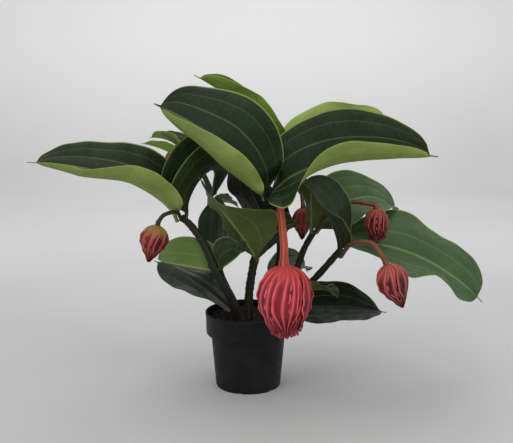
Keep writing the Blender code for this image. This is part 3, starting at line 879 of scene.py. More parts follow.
@dataclass
class Leaf:
    """One blade that springs from a stem.  Angles are in degrees; heading is measured from +X towards +Y.

    The midrib leaves its base at `rise` above level and has turned down by `droop` at its tip, more of it
    early on when `ease` is under 1, while its heading turns by `sweep`.  `left` and `right` give how steeply
    that half of the blade stands at the midrib and at its margin, near the base; `left_end` and `right_end`
    give the same near the tip.  `roll` and `twist` turn the whole blade about the midrib.
    """
    node: str
    base: Point
    heading: float
    rise: float
    droop: float
    length: float
    width: float
    left: tuple[float, float]
    right: tuple[float, float]
    left_end: tuple[float, float]
    right_end: tuple[float, float]
    sweep: float = 0.0
    roll: float = 0.0
    twist: float = 0.0
    ease: float = 1.0
    broad: float = 0.45
    blunt: float = 0.62
    blend: float = 0.5
    wave: float = 0.004
    waves: float = 2.5
    phase: float = 0.0
    flare: float = 1.0
    reach: float = 0.003          # how far its stalk runs back into the stem
    fine: bool = True
    look: Look = Look.DEEP
    slot: LeafSlot = LeafSlot.PLAIN

    def half_width(self, along: np.ndarray) -> np.ndarray:
        """Half the blade's width: t^broad (1 - t)^blunt scaled to the width, no less than stalk and tip.

        Args:
            along: shares of the length.
        Returns:
            Half widths, in metres.
        """
        t = np.clip(along / BLADE_END, 0.0, 1.0)
        p, q = self.broad, self.blunt
        middle = p / (p + q)
        late = np.maximum(t, SHOULDER)
        blade = late ** p * (1.0 - late) ** q / (middle ** p * (1.0 - middle) ** q)
        blade = blade * np.minimum(1.0, t / SHOULDER) * self.width / 2.0
        tail = TIP_HALF + TAIL * np.clip((1.0 - along) / 0.08, 0.0, 1.0)
        stalk = STALK_HALF * np.clip(1.0 - along / 0.1, 0.0, 1.0)
        return np.maximum(np.maximum(blade, tail), stalk)

    def fold(self, start: tuple[float, float], end: tuple[float, float], late: np.ndarray, opened: np.ndarray,
             out: np.ndarray, width: np.ndarray) -> tuple[np.ndarray, np.ndarray, np.ndarray]:
        """One half of a cross-section: an arc whose slope goes evenly from the rib's to the margin's.

        Args:
            start, end: slopes at rib and margin, near the base and near the tip.
            late: how far along the change from start to end is.
            opened: share of the fold there is at each row.
            out: places across, 0 at the rib to 1 at the margin.
            width: half widths.
        Returns:
            How far sideways and upwards the arc runs, and its slope.
        """
        at_rib = np.radians(start[0] + (end[0] - start[0]) * late)[:, None] * opened
        bend = np.radians(start[1] + (end[1] - start[1]) * late)[:, None] * opened - at_rib
        bend = np.where(np.abs(bend) < 0.001, 0.001, bend)
        slope = at_rib + bend * out
        return ((np.sin(slope) - np.sin(at_rib)) / bend * width,
                (np.cos(at_rib) - np.cos(slope)) / bend * width, slope)

    def surface(self, along: np.ndarray, across: np.ndarray, seed: int) -> np.ndarray:
        """The blade's middle surface: a midrib curve, and on each row an arc to either side of it.

        Waves grow towards the margin as |across|^2.2, nerves lie in grooves, and small seeded ripples make
        each margin uneven.

        Args:
            along: shares of the length.
            across: places across the blade, -1 to 1.
            seed: seed of the small ripples.
        Returns:
            Points, rows by columns by 3.
        """
        share = np.linspace(0.0, 1.0, RIB_STEPS + 1)
        lift = np.radians(self.rise - self.droop * share ** self.ease)
        turn = np.radians(self.heading + self.sweep * share)
        forward = np.stack([np.cos(lift) * np.cos(turn), np.cos(lift) * np.sin(turn), np.sin(lift)], -1)
        steps = (forward[1:] + forward[:-1]) / 2.0 * self.length / RIB_STEPS
        rib = np.vstack([np.zeros(3), np.cumsum(steps, 0)]) + np.array(self.base)
        rib = np.stack([np.interp(along, share, rib[:, k]) for k in range(3)], -1)
        forward = unit(np.stack([np.interp(along, share, forward[:, k]) for k in range(3)], -1))
        turn = np.interp(along, share, turn)
        flat = np.stack([-np.sin(turn), np.cos(turn), 0.0 * turn], -1)
        above = np.cross(forward, flat)
        tilt = np.radians(self.roll + self.twist * along)[:, None]
        side = np.cos(tilt) * flat + np.sin(tilt) * above
        up = np.cos(tilt) * above - np.sin(tilt) * flat

        width = self.half_width(along)[:, None]
        out = np.abs(across)[None, :]
        late = smoothstep(self.blend - 0.25, self.blend + 0.25, along)
        opened = smoothstep(0.0, OPENING, width)
        opened = opened * (self.flare + (1.0 - self.flare) * smoothstep(0.03, 0.13, along))[:, None]
        left_run, left_rise, left_slope = self.fold(self.left, self.left_end, late, opened, out, width)
        right_run, right_rise, right_slope = self.fold(self.right, self.right_end, late, opened, out, width)
        is_left = (across >= 0.0)[None, :]
        run = np.where(is_left, left_run, -right_run)
        rise = np.where(is_left, left_rise, right_rise)
        slope = np.where(is_left, left_slope, -right_slope)

        full = np.minimum(1.0, width / FULL_HALF)
        nerve = np.min(np.abs(across[None, :] - np.array((-NERVE, 0.0, NERVE))[:, None]), axis=0)
        puff = PLEAT * (smoothstep(0.0, 0.2, nerve) - 0.5)[None, :] * full
        finer = np.abs(out - OUTER_NERVE)
        puff = puff + 0.35 * PLEAT * (smoothstep(0.0, 0.1, finer) - 1.0) * full
        shift = np.where(is_left, 0.0, 2.1) + self.phase
        ripple = (self.wave * out ** 2.2 * np.sin(2.0 * np.pi * self.waves * along[:, None] + shift)
                  * np.sin(np.pi * np.clip(along, 0.0, 1.0))[:, None] ** 0.7)
        small = ripples(along[:, None] + 0.0 * across, across[None, :] * 0.12 + 0.0 * along[:, None],
                        seed, 14.0, 60.0, 14)
        ripple = ripple + MARGIN_RIPPLE * small * out ** 1.5 * full
        run = run - np.sin(slope) * (ripple + puff)
        rise = rise + np.cos(slope) * (ripple + puff)
        return rib[:, None, :] + side[:, None, :] * run[..., None] + up[:, None, :] * rise[..., None]

    def skin(self, seed: int) -> Skin:
        """The closed blade: the middle surface moved out along its normals to either side.

        It thins to its margin, swells at its stalk, and its midrib stands out underneath as a narrow ridge.

        Args:
            seed: seed of the small ripples.
        Returns:
            The blade's skin.
        """
        rows, columns = FINE_GRID if self.fine else PLAIN_GRID
        along = np.linspace(0.0, 1.0, rows)
        across = np.linspace(-1.0, 1.0, columns)
        grid = self.surface(along, across, seed)
        lift, turn = math.radians(self.rise), math.radians(self.heading)
        back = np.array((math.cos(lift) * math.cos(turn), math.cos(lift) * math.sin(turn), math.sin(lift)))
        run = (self.reach + ROOT) * np.array((1.0, 0.66, 0.33))
        grid = np.concatenate([grid[:1] - back * run[:, None, None], grid], 0)
        along = np.concatenate([np.zeros(len(run)), along])
        normal = unit(np.cross(np.gradient(grid, axis=0), np.gradient(grid, axis=1)))
        width = self.half_width(along)[:, None]
        edge = 1.0 - 0.7 * np.abs(across)[None, :] ** 6
        swell = (1.0 - smoothstep(0.0, 0.09, along))[:, None]
        body = BLADE / 2.0 * edge + STALK_SWELL * swell * (1.0 - across ** 2)
        ridge = RIDGE * np.exp(-(across[None, :] * width / RIDGE_HALF) ** 2) * (1.0 - 0.75 * along)[:, None]
        upper = grid + normal * body[..., None]
        under = grid - normal * (body + ridge)[..., None]
        rings = np.concatenate([upper, under[:, ::-1]], 1)
        share = (across + 1.0) / 2.0
        slots = np.repeat((Side.UPPER.value, Side.MARGIN.value, Side.UNDER.value, Side.MARGIN.value),
                          (columns - 1, 1, columns - 1, 1))
        return Skin(rings, np.concatenate([share, share[::-1]]), 0.0, along, slots)

    def build(self, seed: int, materials: dict) -> bpy.types.Object:
        """Build, dress and hand over the blade.

        Args:
            seed: seed of its small ripples.
            materials: the three materials of each look.
        Returns:
            The finished piece.
        """
        piece = make_piece(self.node + "_blade", [self.skin(seed)], materials[self.look])
        hand_over(piece, self.node)
        return piece


@dataclass
class Stem:
    """A woody stem: the points of its axis above the soil, and its radius at the foot and at the top."""
    node: str
    foot: tuple[float, float]
    points: tuple
    radius: float
    top_radius: float
    swell: tuple = ()             # heights where it is thicker
    joint_gap: float = 0.043      # between the faint rings where old leaves stood
    wing: float = 0.24            # how far the wings stand out, as a share of the radius
    sides: int = 40

    def skin(self, seed: int) -> Skin:
        """A tube with four corky wings, 1 + 0.24 |cos 2a|^5, that swells at its joints.

        Args:
            seed: seed of the wings' uneven edge.
        Returns:
            The stem's skin.
        """
        x, y = self.foot
        risen = smooth_path(((x, y, SOIL_TOP),) + self.points, 120)
        path = np.vstack([[[x, y, HOLE_FLOOR + 0.02]], risen])
        share = np.linspace(0.0, 1.0, len(path))
        radii = self.radius + (self.top_radius - self.radius) * share
        for height in self.swell:
            radii = radii * (1.0 + SWELL * np.exp(-((path[:, 2] - height) / SWELL_HALF) ** 2))
        walked = np.concatenate([[0.0], np.cumsum(np.linalg.norm(np.diff(path, axis=0), axis=1))])
        ring = np.abs((walked / self.joint_gap + 0.5) % 1.0 - 0.5) * self.joint_gap
        radii = radii * (1.0 + RING * np.exp(-(ring / RING_HALF) ** 2))
        radii[-2:] *= (0.9, 0.55)
        turn = np.linspace(0.0, 2.0 * np.pi, self.sides, endpoint=False)
        uneven = ripples(walked[:, None] + 0.0 * turn,
                         np.cos(2.0 * turn)[None, :] * 0.004 + 0.0 * walked[:, None], seed, 150.0, 900.0)
        wings = (self.wing + 0.05 * uneven) * np.abs(np.cos(2.0 * turn))[None, :] ** 5 - 0.07 + 0.012 * uneven
        return tube_skin(path, radii, self.sides, wings)

    def build(self, seed: int, bark: bpy.types.Material) -> bpy.types.Object:
        """Build, dress and hand over the stem.

        Args:
            seed: seed of the wings' uneven edge.
            bark: its material.
        Returns:
            The finished piece.
        """
        piece = make_piece(self.node + "_bark", [self.skin(seed)], [bark], 70.0)
        hand_over(piece, self.node)
        return piece


@dataclass
class Bloom:
    """A hanging bud of lapping bracts and the ridged stalk that carries it."""
    name: str
    stalk: tuple                  # points of the stalk's axis, the last at the top of the bud
    stalk_radius: tuple[float, float]
    tip: Point                    # lowest point of the bud
    radius: float
    bracts: int
    open_mouth: bool = False
    hue: Hue = Hue.ROSE
    lap: float = 0.085            # how far one edge of a bract stands over its neighbour
    spiral: float = 0.45          # turn of a bract between its shoulder and its tip, in radians
    rib_rise: float = 0.045       # height of a rib, as a share of the radius
    stalk_sides: int = 30
    core_sides: int = 28

    @property
    def big(self) -> bool:
        """Whether the bud is large enough for the finer grid."""
        return self.radius > BIG_BUD

    def envelope(self, share: np.ndarray) -> np.ndarray:
        """The bud's radius over its length as a share of its widest, a smooth curve through its outline.

        Args:
            share: places down the bud, 0 to 1.
        Returns:
            Radii, 0 to 1.
        """
        outline = smooth_path(BUD_OPEN if self.open_mouth else BUD_CLOSED, 160)
        return np.interp(share, outline[:, 0], outline[:, 1])

    def axes(self) -> tuple[np.ndarray, np.ndarray, np.ndarray, np.ndarray]:
        """The bud's top, the way down it, and two directions square to that.

        Returns:
            The top, the vector from it to the tip, and the two directions.
        """
        top = np.array(self.stalk[-1])
        down = np.array(self.tip) - top
        side = unit(np.cross(down, (0.0, 1.0, 0.0)))
        return top, down, side, np.cross(unit(down), side)

    def bract(self, layer: int, number: int, draw: np.random.Generator) -> Skin:
        """One bract: a strip of the bud's envelope that lies lower with each layer.

        Its half angle is widest a third of the way down and narrows to a point.  One edge stands out and the
        other tucks in.  Five ribs |cos 2 pi u|^5 run down it, two of them along its edges, with hollows
        between.  Its margin is slightly waved, and ragged where the bud has an open mouth.

        Args:
            layer: 0 for the outer bracts.
            number: which bract of the layer.
            draw: seeded source of small differences.
        Returns:
            The bract's skin.
        """
        top, down, side, other = self.axes()
        rows, columns = (42, 41) if self.big else (30, 29)
        v = np.linspace(0.0, 1.0, rows)[:, None]
        u = np.linspace(-1.0, 1.0, columns)[None, :]
        ends = 0.955 - 0.045 * layer if self.open_mouth else 1.0 - 0.02 * layer
        share = v * ends * float(draw.uniform(0.955, 1.0))
        if self.open_mouth:
            ragged = np.sin(7.0 * math.pi * u + number) * np.sin(3.3 * math.pi * u + 2.0 * layer)
            share = share * (1.0 - 0.03 * (0.5 + 0.5 * ragged) * smoothstep(0.7, 1.0, v))
        shape = (0.62 + 0.38 * smoothstep(0.0, 0.3, v)) * (1.0 - 0.72 * smoothstep(0.5, 1.02, v))
        half = math.pi / self.bracts * 1.5 * shape
        start = 2.0 * math.pi * (number + 0.5 * layer) / self.bracts + float(draw.uniform(-0.07, 0.07))
        turn = start + half * u + self.spiral * v
        depth = 1.0 - 0.075 * layer
        reach = self.radius * self.envelope(share) * (depth + self.lap * u * (1.0 - 0.4 * v))
        rib = np.abs(np.cos(2.0 * math.pi * u)) ** 5 - 0.35
        reach = reach + self.rib_rise * self.radius * rib * smoothstep(0.0, 0.12, v) * (1.0 - 0.45 * v)
        wave = np.sin(9.0 * math.pi * v + float(draw.uniform(0.0, 6.0)))
        margin = np.abs(u) ** 3 * smoothstep(0.1, 0.5, v)
        reach = reach + BRACT_WAVE * self.radius / BIG_BUD * wave * margin
        flare = MOUTH_FLARE if self.open_mouth else 0.0
        reach = reach + flare * smoothstep(0.86, 1.0, v) * (1.0 - layer * 0.7)
        outwards = side * np.cos(turn)[..., None] + other * np.sin(turn)[..., None]
        centre = top + down * share[..., None]
        outer = centre + outwards * reach[..., None]
        inner = centre + outwards * (np.maximum(reach - BRACT, 0.0003))[..., None]
        rings = np.concatenate([outer, inner[:, ::-1]], 1)
        across = (u[0] + 1.0) / 2.0
        return Skin(rings, np.concatenate([across, across[::-1]]), 0.0, v[:, 0],
                    np.full(2 * columns, BudPart.BRACT.value))

    def core(self) -> Skin:
        """The closed body inside the bracts: the envelope at a fixed share of its radius.

        Returns:
            The body's skin.
        """
        top, down, side, other = self.axes()
        sides = self.core_sides
        share = np.linspace(0.02, 0.93 if self.open_mouth else 0.97, 24)
        turn = np.linspace(0.0, 2.0 * np.pi, sides, endpoint=False)
        reach = self.radius * CORE_SHARE * self.envelope(share)[:, None] + 0.0 * turn
        rings = ((top + down * share[:, None])[:, None, :] + side * (np.cos(turn) * reach)[..., None]
                 + other * (np.sin(turn) * reach)[..., None])
        return Skin(rings, np.arange(sides) / sides, 1.0, share, np.full(sides, BudPart.CORE.value))

    def florets(self, count: int) -> list[Skin]:
        """Small flower buds that hang in the mouth, spread by the golden angle over a shallow dome.

        Args:
            count: how many.
        Returns:
            Their skins.
        """
        top, down, side, other = self.axes()
        mouth, thick, bow, sides = self.radius * 0.47, self.radius * 0.056, 0.0012, 8
        t = np.linspace(0.0, 1.0, 7)[:, None]
        radii = thick * np.sqrt(np.clip(1.0 - (2.0 * t[:, 0] - 1.0) ** 2, 0.03, 1.0))
        skins = []
        for number in range(count):
            far = math.sqrt((number + 0.5) / count)
            turn = number * math.pi * (3.0 - math.sqrt(5.0))
            outwards = side * math.cos(turn) + other * math.sin(turn)
            foot = top + down * (0.865 + 0.04 * (1.0 - far)) + outwards * mouth * far * 0.92
            way = unit(unit(down) + outwards * (0.25 * far + 0.3 * math.sin(7.0 * number)))
            long = self.radius * (0.30 + 0.07 * math.sin(5.0 * number))
            path = foot + way * long * t + outwards * bow * np.sin(math.pi * t)
            skins.append(tube_skin(path, radii, sides, np.zeros(sides), BudPart.FLORET.value))
        return skins

    def stalk_skin(self) -> Skin:
        """A tube with five soft ridges, 0.26 |cos 2.5a|^1.6, that thickens to the bud, with two faint rings.

        Returns:
            The stalk's skin.
        """
        top, tip = np.array(self.stalk[-1]), np.array(self.tip)
        neck = top - unit(tip - top) * 0.005
        hung = smooth_path(self.stalk[:-1] + (tuple(neck),), 70)
        start = hung[0] - unit(hung[1] - hung[0]) * ROOT
        path = np.vstack([start, hung, top + unit(tip - top) * 0.002])
        share = np.linspace(0.0, 1.0, len(path))
        radii = self.stalk_radius[0] + (self.stalk_radius[1] - self.stalk_radius[0]) * share
        radii = radii * (1.0 + 0.16 * smoothstep(0.9, 1.0, share) + 0.20 * smoothstep(0.06, 0.0, share))
        for place in (0.30, 0.64):
            radii = radii * (1.0 + 0.07 * np.exp(-((share - place) / 0.012) ** 2))
        turn = np.linspace(0.0, 2.0 * np.pi, self.stalk_sides, endpoint=False)
        return tube_skin(path, radii, self.stalk_sides, 0.26 * np.abs(np.cos(2.5 * turn)) ** 1.6 - 0.12)

    def build(self, seed: int, bud: list[bpy.types.Material], skin: bpy.types.Material) -> None:
        """Build, dress and hand over the bud and its stalk.

        Args:
            seed: seed of the bracts' small differences.
            bud: materials of the bracts, the core and the florets.
            skin: the stalk's material.
        """
        draw = np.random.default_rng(seed)
        layers = 3 if self.open_mouth else 2
        skins = [self.bract(layer, number, draw) for layer in range(layers) for number in range(self.bracts)]
        skins.append(self.core())
        if self.open_mouth:
            skins.extend(self.florets(90 if self.big else 36))
        hand_over(make_piece("bracts_" + self.name, skins, bud), "bloom_" + self.name)
        stalk = make_piece("flower_stalk_" + self.name, [self.stalk_skin()], [skin], 70.0)
        hand_over(stalk, "stalk_" + self.name)


@dataclass
class Pot:
    """A moulded nursery pot with a wide band under its rim and drain notches round its foot."""
    node: str = "pot"
    columns: int = 180
    corner: float = 0.0009        # rounding of its edges
    lip: float = 0.0045           # height of the rim's upright lip

    def outline(self) -> np.ndarray:
        """The wall's outline: from the middle of the foot out, up, over the rim and down inside.

        Each corner is rounded by a quadratic curve between points `corner` before and after it.

        Returns:
            Radius and height of each point.
        """
        wall, shelf = POT_WALL, BAND_LOW - 0.006
        p = np.array(((POLE, 0.0), (FOOT_RADIUS - 0.004, 0.0), (FOOT_RADIUS, 0.0),
                      (FOOT_RADIUS + 0.0012, 0.016), (BODY_RADIUS, shelf), (BAND_RADIUS, BAND_LOW - 0.003),
                      (BAND_RADIUS + 0.0003, BAND_LOW), (RIM_RADIUS - 0.0008, POT_HEIGHT - self.lip - 0.002),
                      (RIM_RADIUS, POT_HEIGHT - self.lip), (RIM_RADIUS, POT_HEIGHT),
                      (RIM_RADIUS - wall, POT_HEIGHT), (BAND_RADIUS - wall, BAND_LOW + 0.001),
                      (BODY_RADIUS - wall, shelf), (FOOT_RADIUS - wall, POT_FLOOR), (POLE, POT_FLOOR)))
        before = p[1:-1] + unit(p[:-2] - p[1:-1]) * self.corner
        after = p[1:-1] + unit(p[2:] - p[1:-1]) * self.corner
        t = np.linspace(0.0, 1.0, 5)[None, :, None]
        arcs = (1 - t) ** 2 * before[:, None] + 2 * t * (1 - t) * p[1:-1, None] + t ** 2 * after[:, None]
        return np.vstack([p[:1], arcs.reshape(-1, 2), p[-1:]])

    def build(self, plastic: bpy.types.Material) -> bpy.types.Object:
        """Turn the outline, lift its foot over the notches, dress it and hand it over.

        Args:
            plastic: its material.
        Returns:
            The finished piece.
        """
        outline = self.outline()
        turn = np.linspace(0.0, 2.0 * np.pi, self.columns, endpoint=False)[None, :]
        radius, height = outline[:, 0][:, None] + 0.0 * turn, outline[:, 1][:, None] + 0.0 * turn
        pace = 2.0 * np.pi / NOTCHES
        off = np.abs((turn / pace - 0.25 + 0.5) % 1.0 - 0.5) * pace * FOOT_RADIUS
        lifted = NOTCH_DEPTH * np.exp(-(off / NOTCH_RADIUS) ** 6) * (radius > FOOT_RADIUS - 0.006)
        height = np.where(height < NOTCH_DEPTH, np.maximum(height, lifted), height)
        rings = np.stack([radius * np.cos(turn), radius * np.sin(turn), height], -1)
        skin = Skin(rings, np.arange(self.columns) / self.columns, 1.0, outline[:, 1] / POT_HEIGHT,
                    np.zeros(self.columns, int))
        piece = make_piece("pot_wall", [skin], [plastic], 40.0)
        hand_over(piece, self.node)
        return piece


@dataclass
class Soil:
    """Potting soil that fills the pot, lumpy on top, with loose crumbs."""
    node: str = "soil"
    columns: int = 170
    rows: int = 60
    crumbs: int = 520
    crumb_spread: float = 0.0645  # radius within which they lie
    crumb_size: tuple[float, float] = (0.0007, 0.0023)
    seed: int = 41

    def height(self, x: np.ndarray, y: np.ndarray) -> np.ndarray:
        """A low crown plus rough ripples at three sizes.

        Args:
            x, y: places.
        Returns:
            Heights.
        """
        crown = SOIL_CROWN * (1.0 - (x ** 2 + y ** 2) / BAND_RADIUS ** 2)
        return (SOIL_TOP + crown + 0.0008 * ripples(x, y, self.seed, 120.0, 320.0)
                + 0.0006 * ripples(x, y, self.seed + 1, 500.0, 1400.0)
                + 0.0003 * ripples(x, y, self.seed + 2, 2000.0, 5000.0))

    def fill(self) -> Skin:
        """The closed fill: down the middle, out, up the wall, and back over the rough top.

        Returns:
            The fill's skin.
        """
        wall = POT_WALL + GAP
        sides = np.array(((POLE, POT_FLOOR + GAP), (FOOT_RADIUS - wall, POT_FLOOR + GAP),
                          (BODY_RADIUS - wall - 0.0003, BAND_LOW - 0.006),
                          (BAND_RADIUS - wall - 0.0003, BAND_LOW + 0.0015),
                          (BAND_RADIUS - wall, SOIL_TOP - 0.004)))
        turn = np.linspace(0.0, 2.0 * np.pi, self.columns, endpoint=False)[None, :]
        inward = np.linspace(BAND_RADIUS - wall, 0.0012, self.rows)[:, None]
        radius = np.vstack([sides[:, :1] + 0.0 * turn, inward + 0.0 * turn])
        x, y = radius * np.cos(turn), radius * np.sin(turn)
        top = self.height(x[len(sides):], y[len(sides):])
        z = np.vstack([sides[:, 1:] + 0.0 * turn, top])
        rings = np.stack([x, y, z], -1)
        return Skin(rings, np.arange(self.columns) / self.columns, 1.0, np.linspace(0.0, 1.0, len(rings)),
                    np.zeros(self.columns, int))

    def crumb(self, draw: np.random.Generator) -> Skin:
        """One loose crumb: six-sided rings of radius sqrt(1 - 0.94 t^2) along a line turned at random.

        Args:
            draw: seeded source of its place and size.
        Returns:
            The crumb's skin.
        """
        far, turn = self.crumb_spread * math.sqrt(draw.uniform()), draw.uniform(0.0, 2.0 * math.pi)
        size = float(draw.uniform(*self.crumb_size))
        x, y = far * math.cos(turn), far * math.sin(turn)
        rows, sides = 5, 6
        t = np.linspace(-1.0, 1.0, rows)
        way = unit(draw.normal(size=3))
        height = float(self.height(np.array(x), np.array(y))) + 0.35 * size
        path = np.array((x, y, height)) + way * (t * size * 0.8)[:, None]
        radii = size * np.sqrt(1.0 - 0.94 * t ** 2) * draw.uniform(0.75, 1.1)
        turn = np.linspace(0.0, 2.0 * np.pi, sides, endpoint=False)
        side = unit(np.cross(way, unit(draw.normal(size=3))))
        up = np.cross(way, side)
        ring = side * np.cos(turn)[:, None] + up * np.sin(turn)[:, None]
        reach = radii[:, None] * (1.0 + draw.uniform(-0.2, 0.2, (rows, sides)))
        rings = path[:, None, :] + ring[None] * reach[..., None]
        return Skin(rings, np.arange(sides) / sides, 1.0, np.linspace(0.0, 1.0, rows), np.zeros(sides, int))

    def build(self, earth: bpy.types.Material) -> bpy.types.Object:
        """Build, dress and hand over the soil.

        Args:
            earth: its material.
        Returns:
            The finished piece.
        """
        draw = np.random.default_rng(self.seed)
        skins = [self.fill()] + [self.crumb(draw) for _ in range(self.crumbs)]
        piece = make_piece("soil_fill", skins, [earth], 80.0)
        hand_over(piece, self.node)
        return piece


@dataclass(frozen=True)
class Lamp:
    """A square area light: where it is, what it points at, its side in metres and its watts."""
    name: str
    place: Point
    aim: Point
    size: float
    watts: float

    def build(self) -> None:
        """Add the light, turned so that its -Z points from its place to its aim."""
        lamp = bpy.data.lights.new(self.name, "AREA")
        lamp.shape = "SQUARE"
        lamp.size = self.size
        lamp.energy = self.watts
        holder = bpy.data.objects.new(self.name, lamp)
        back = unit(np.array(self.place) - np.array(self.aim))
        side = unit(np.cross((0.0, 0.0, 1.0), back))
        facing = np.eye(4)
        facing[:3] = np.stack([side, np.cross(back, side), back, np.array(self.place)], 1)
        holder.matrix_world = Matrix(facing.tolist())
        bpy.context.scene.collection.objects.link(holder)


LAMPS = (
    Lamp("window_light", (-0.9, -1.5, 2.3), (0.0, 0.0, 0.25), 1.8, 14.0),
    Lamp("fill_light", (1.7, -1.2, 1.5), (0.0, 0.0, 0.2), 1.6, 8.0),
    Lamp("top_light", (0.2, 0.5, 2.4), (0.0, 0.0, 0.3), 1.8, 10.0),
    Lamp("wall_light", (0.0, 1.5, 2.3), (0.0, 3.6, 0.9), 2.4, 32.0),
)


@dataclass
class Studio:
    """A pale sweep behind and under the plant, soft lights and the camera."""
    half_width: float = 4.0
    near: float = -3.0
    far: float = 2.2
    sweep: float = 1.3            # radius of the bend between floor and wall
    tall: float = 3.2
    air: tuple[float, float, float, float] = (0.98, 0.985, 1.0, 1.0)
    air_strength: float = 0.76

    def sweep_body(self) -> bpy.types.Object:
        """Floor and wall as one sheet: level, then a quarter circle, then upright.

        Returns:
            The sheet, attached to none of the plant's bodies.
        """
        turn = np.linspace(0.0, math.pi / 2.0, 24)
        level = np.linspace(self.near, self.far, 12)[:-1]
        y = np.concatenate([level, self.far + self.sweep * np.sin(turn), [self.far + self.sweep]])
        z = np.concatenate([np.zeros(len(level)), self.sweep * (1.0 - np.cos(turn)), [self.tall]])
        x = np.array((-self.half_width, self.half_width))
        points = np.stack([x[None, :] + 0.0 * y[:, None], y[:, None] + 0.0 * x, z[:, None] + 0.0 * x], -1)
        rows = np.arange(len(y) - 1) * 2
        faces = np.stack([rows, rows + 1, rows + 3, rows + 2], -1)
        mesh = bpy.data.meshes.new("studio_sweep")
        mesh.from_pydata(points.reshape(-1, 3).tolist(), [], faces.tolist())
        mesh.shade_smooth()
        mesh.materials.append(FloorFinish().dress())
        floor = bpy.data.objects.new("studio_sweep", mesh)
        bpy.context.scene.collection.objects.link(floor)
        return floor

    def camera(self) -> None:
        """The camera at the photograph's place, looking straight ahead and a little down."""
        seen = bpy.data.cameras.new("studio_camera")
        seen.sensor_width = SENSOR
        seen.lens = FOCAL_LENGTH
        holder = bpy.data.objects.new("studio_camera", seen)
        holder.location = EYE
        holder.rotation_euler = (math.radians(90.0 - LOOK_DOWN), 0.0, 0.0)
        bpy.context.scene.collection.objects.link(holder)
        bpy.context.scene.camera = holder

    def build(self) -> None:
        """Set up floor, lights, surroundings and camera."""
        self.sweep_body()
        for lamp in LAMPS:
            lamp.build()
        world = bpy.data.worlds.new("studio_air")
        world.use_nodes = True
        world.node_tree.nodes["Background"].inputs["Color"].default_value = self.air
        world.node_tree.nodes["Background"].inputs["Strength"].default_value = self.air_strength
        bpy.context.scene.world = world
        bpy.context.scene.view_settings.view_transform = "Standard"
        self.camera()


# Each stem: node, foot on the soil, points of its axis, radii, heights where it is thicker
STEMS = (
    Stem("stem_left", (-0.019, -0.017), ((-0.026, -0.032, 0.150), LEFT_FORK, (-0.068, -0.060, 0.250),
         (-0.088, -0.056, 0.277), LEFT_TIP), 0.0070, 0.0046, (0.214,)),
    Stem("stem_middle", (0.001, -0.022), ((0.002, -0.022, 0.160), MIDDLE_FORK, (0.022, -0.042, 0.262),
         MIDDLE_TIP), 0.0066, 0.0046, (0.212,)),
    Stem("stem_right", (0.030, -0.004), ((0.052, 0.000, 0.147), (0.078, 0.005, 0.191), (0.091, 0.008, 0.225),
         RIGHT_TIP), 0.0048, 0.0044),
    Stem("stem_far_right", (0.046, -0.020), ((0.066, -0.012, 0.139), (0.091, -0.016, 0.165),
         (0.115, -0.030, 0.195), FAR_RIGHT_TIP), 0.0050, 0.0044),
    Stem("stem_back", (0.020, 0.036), ((0.033, 0.045, 0.147), (0.050, 0.055, 0.193), (0.053, 0.060, 0.247),
         (0.058, 0.060, 0.307), BACK_TIP), 0.0050, 0.0042),
    Stem("stem_back_left", (-0.016, 0.040), ((-0.036, 0.052, 0.147), BACK_LEFT_FORK, (-0.065, 0.070, 0.254),
         BACK_LEFT_NODE, (-0.066, 0.083, 0.312), (-0.077, 0.089, 0.338), BACK_LEFT_TIP), 0.0050, 0.0040),
)

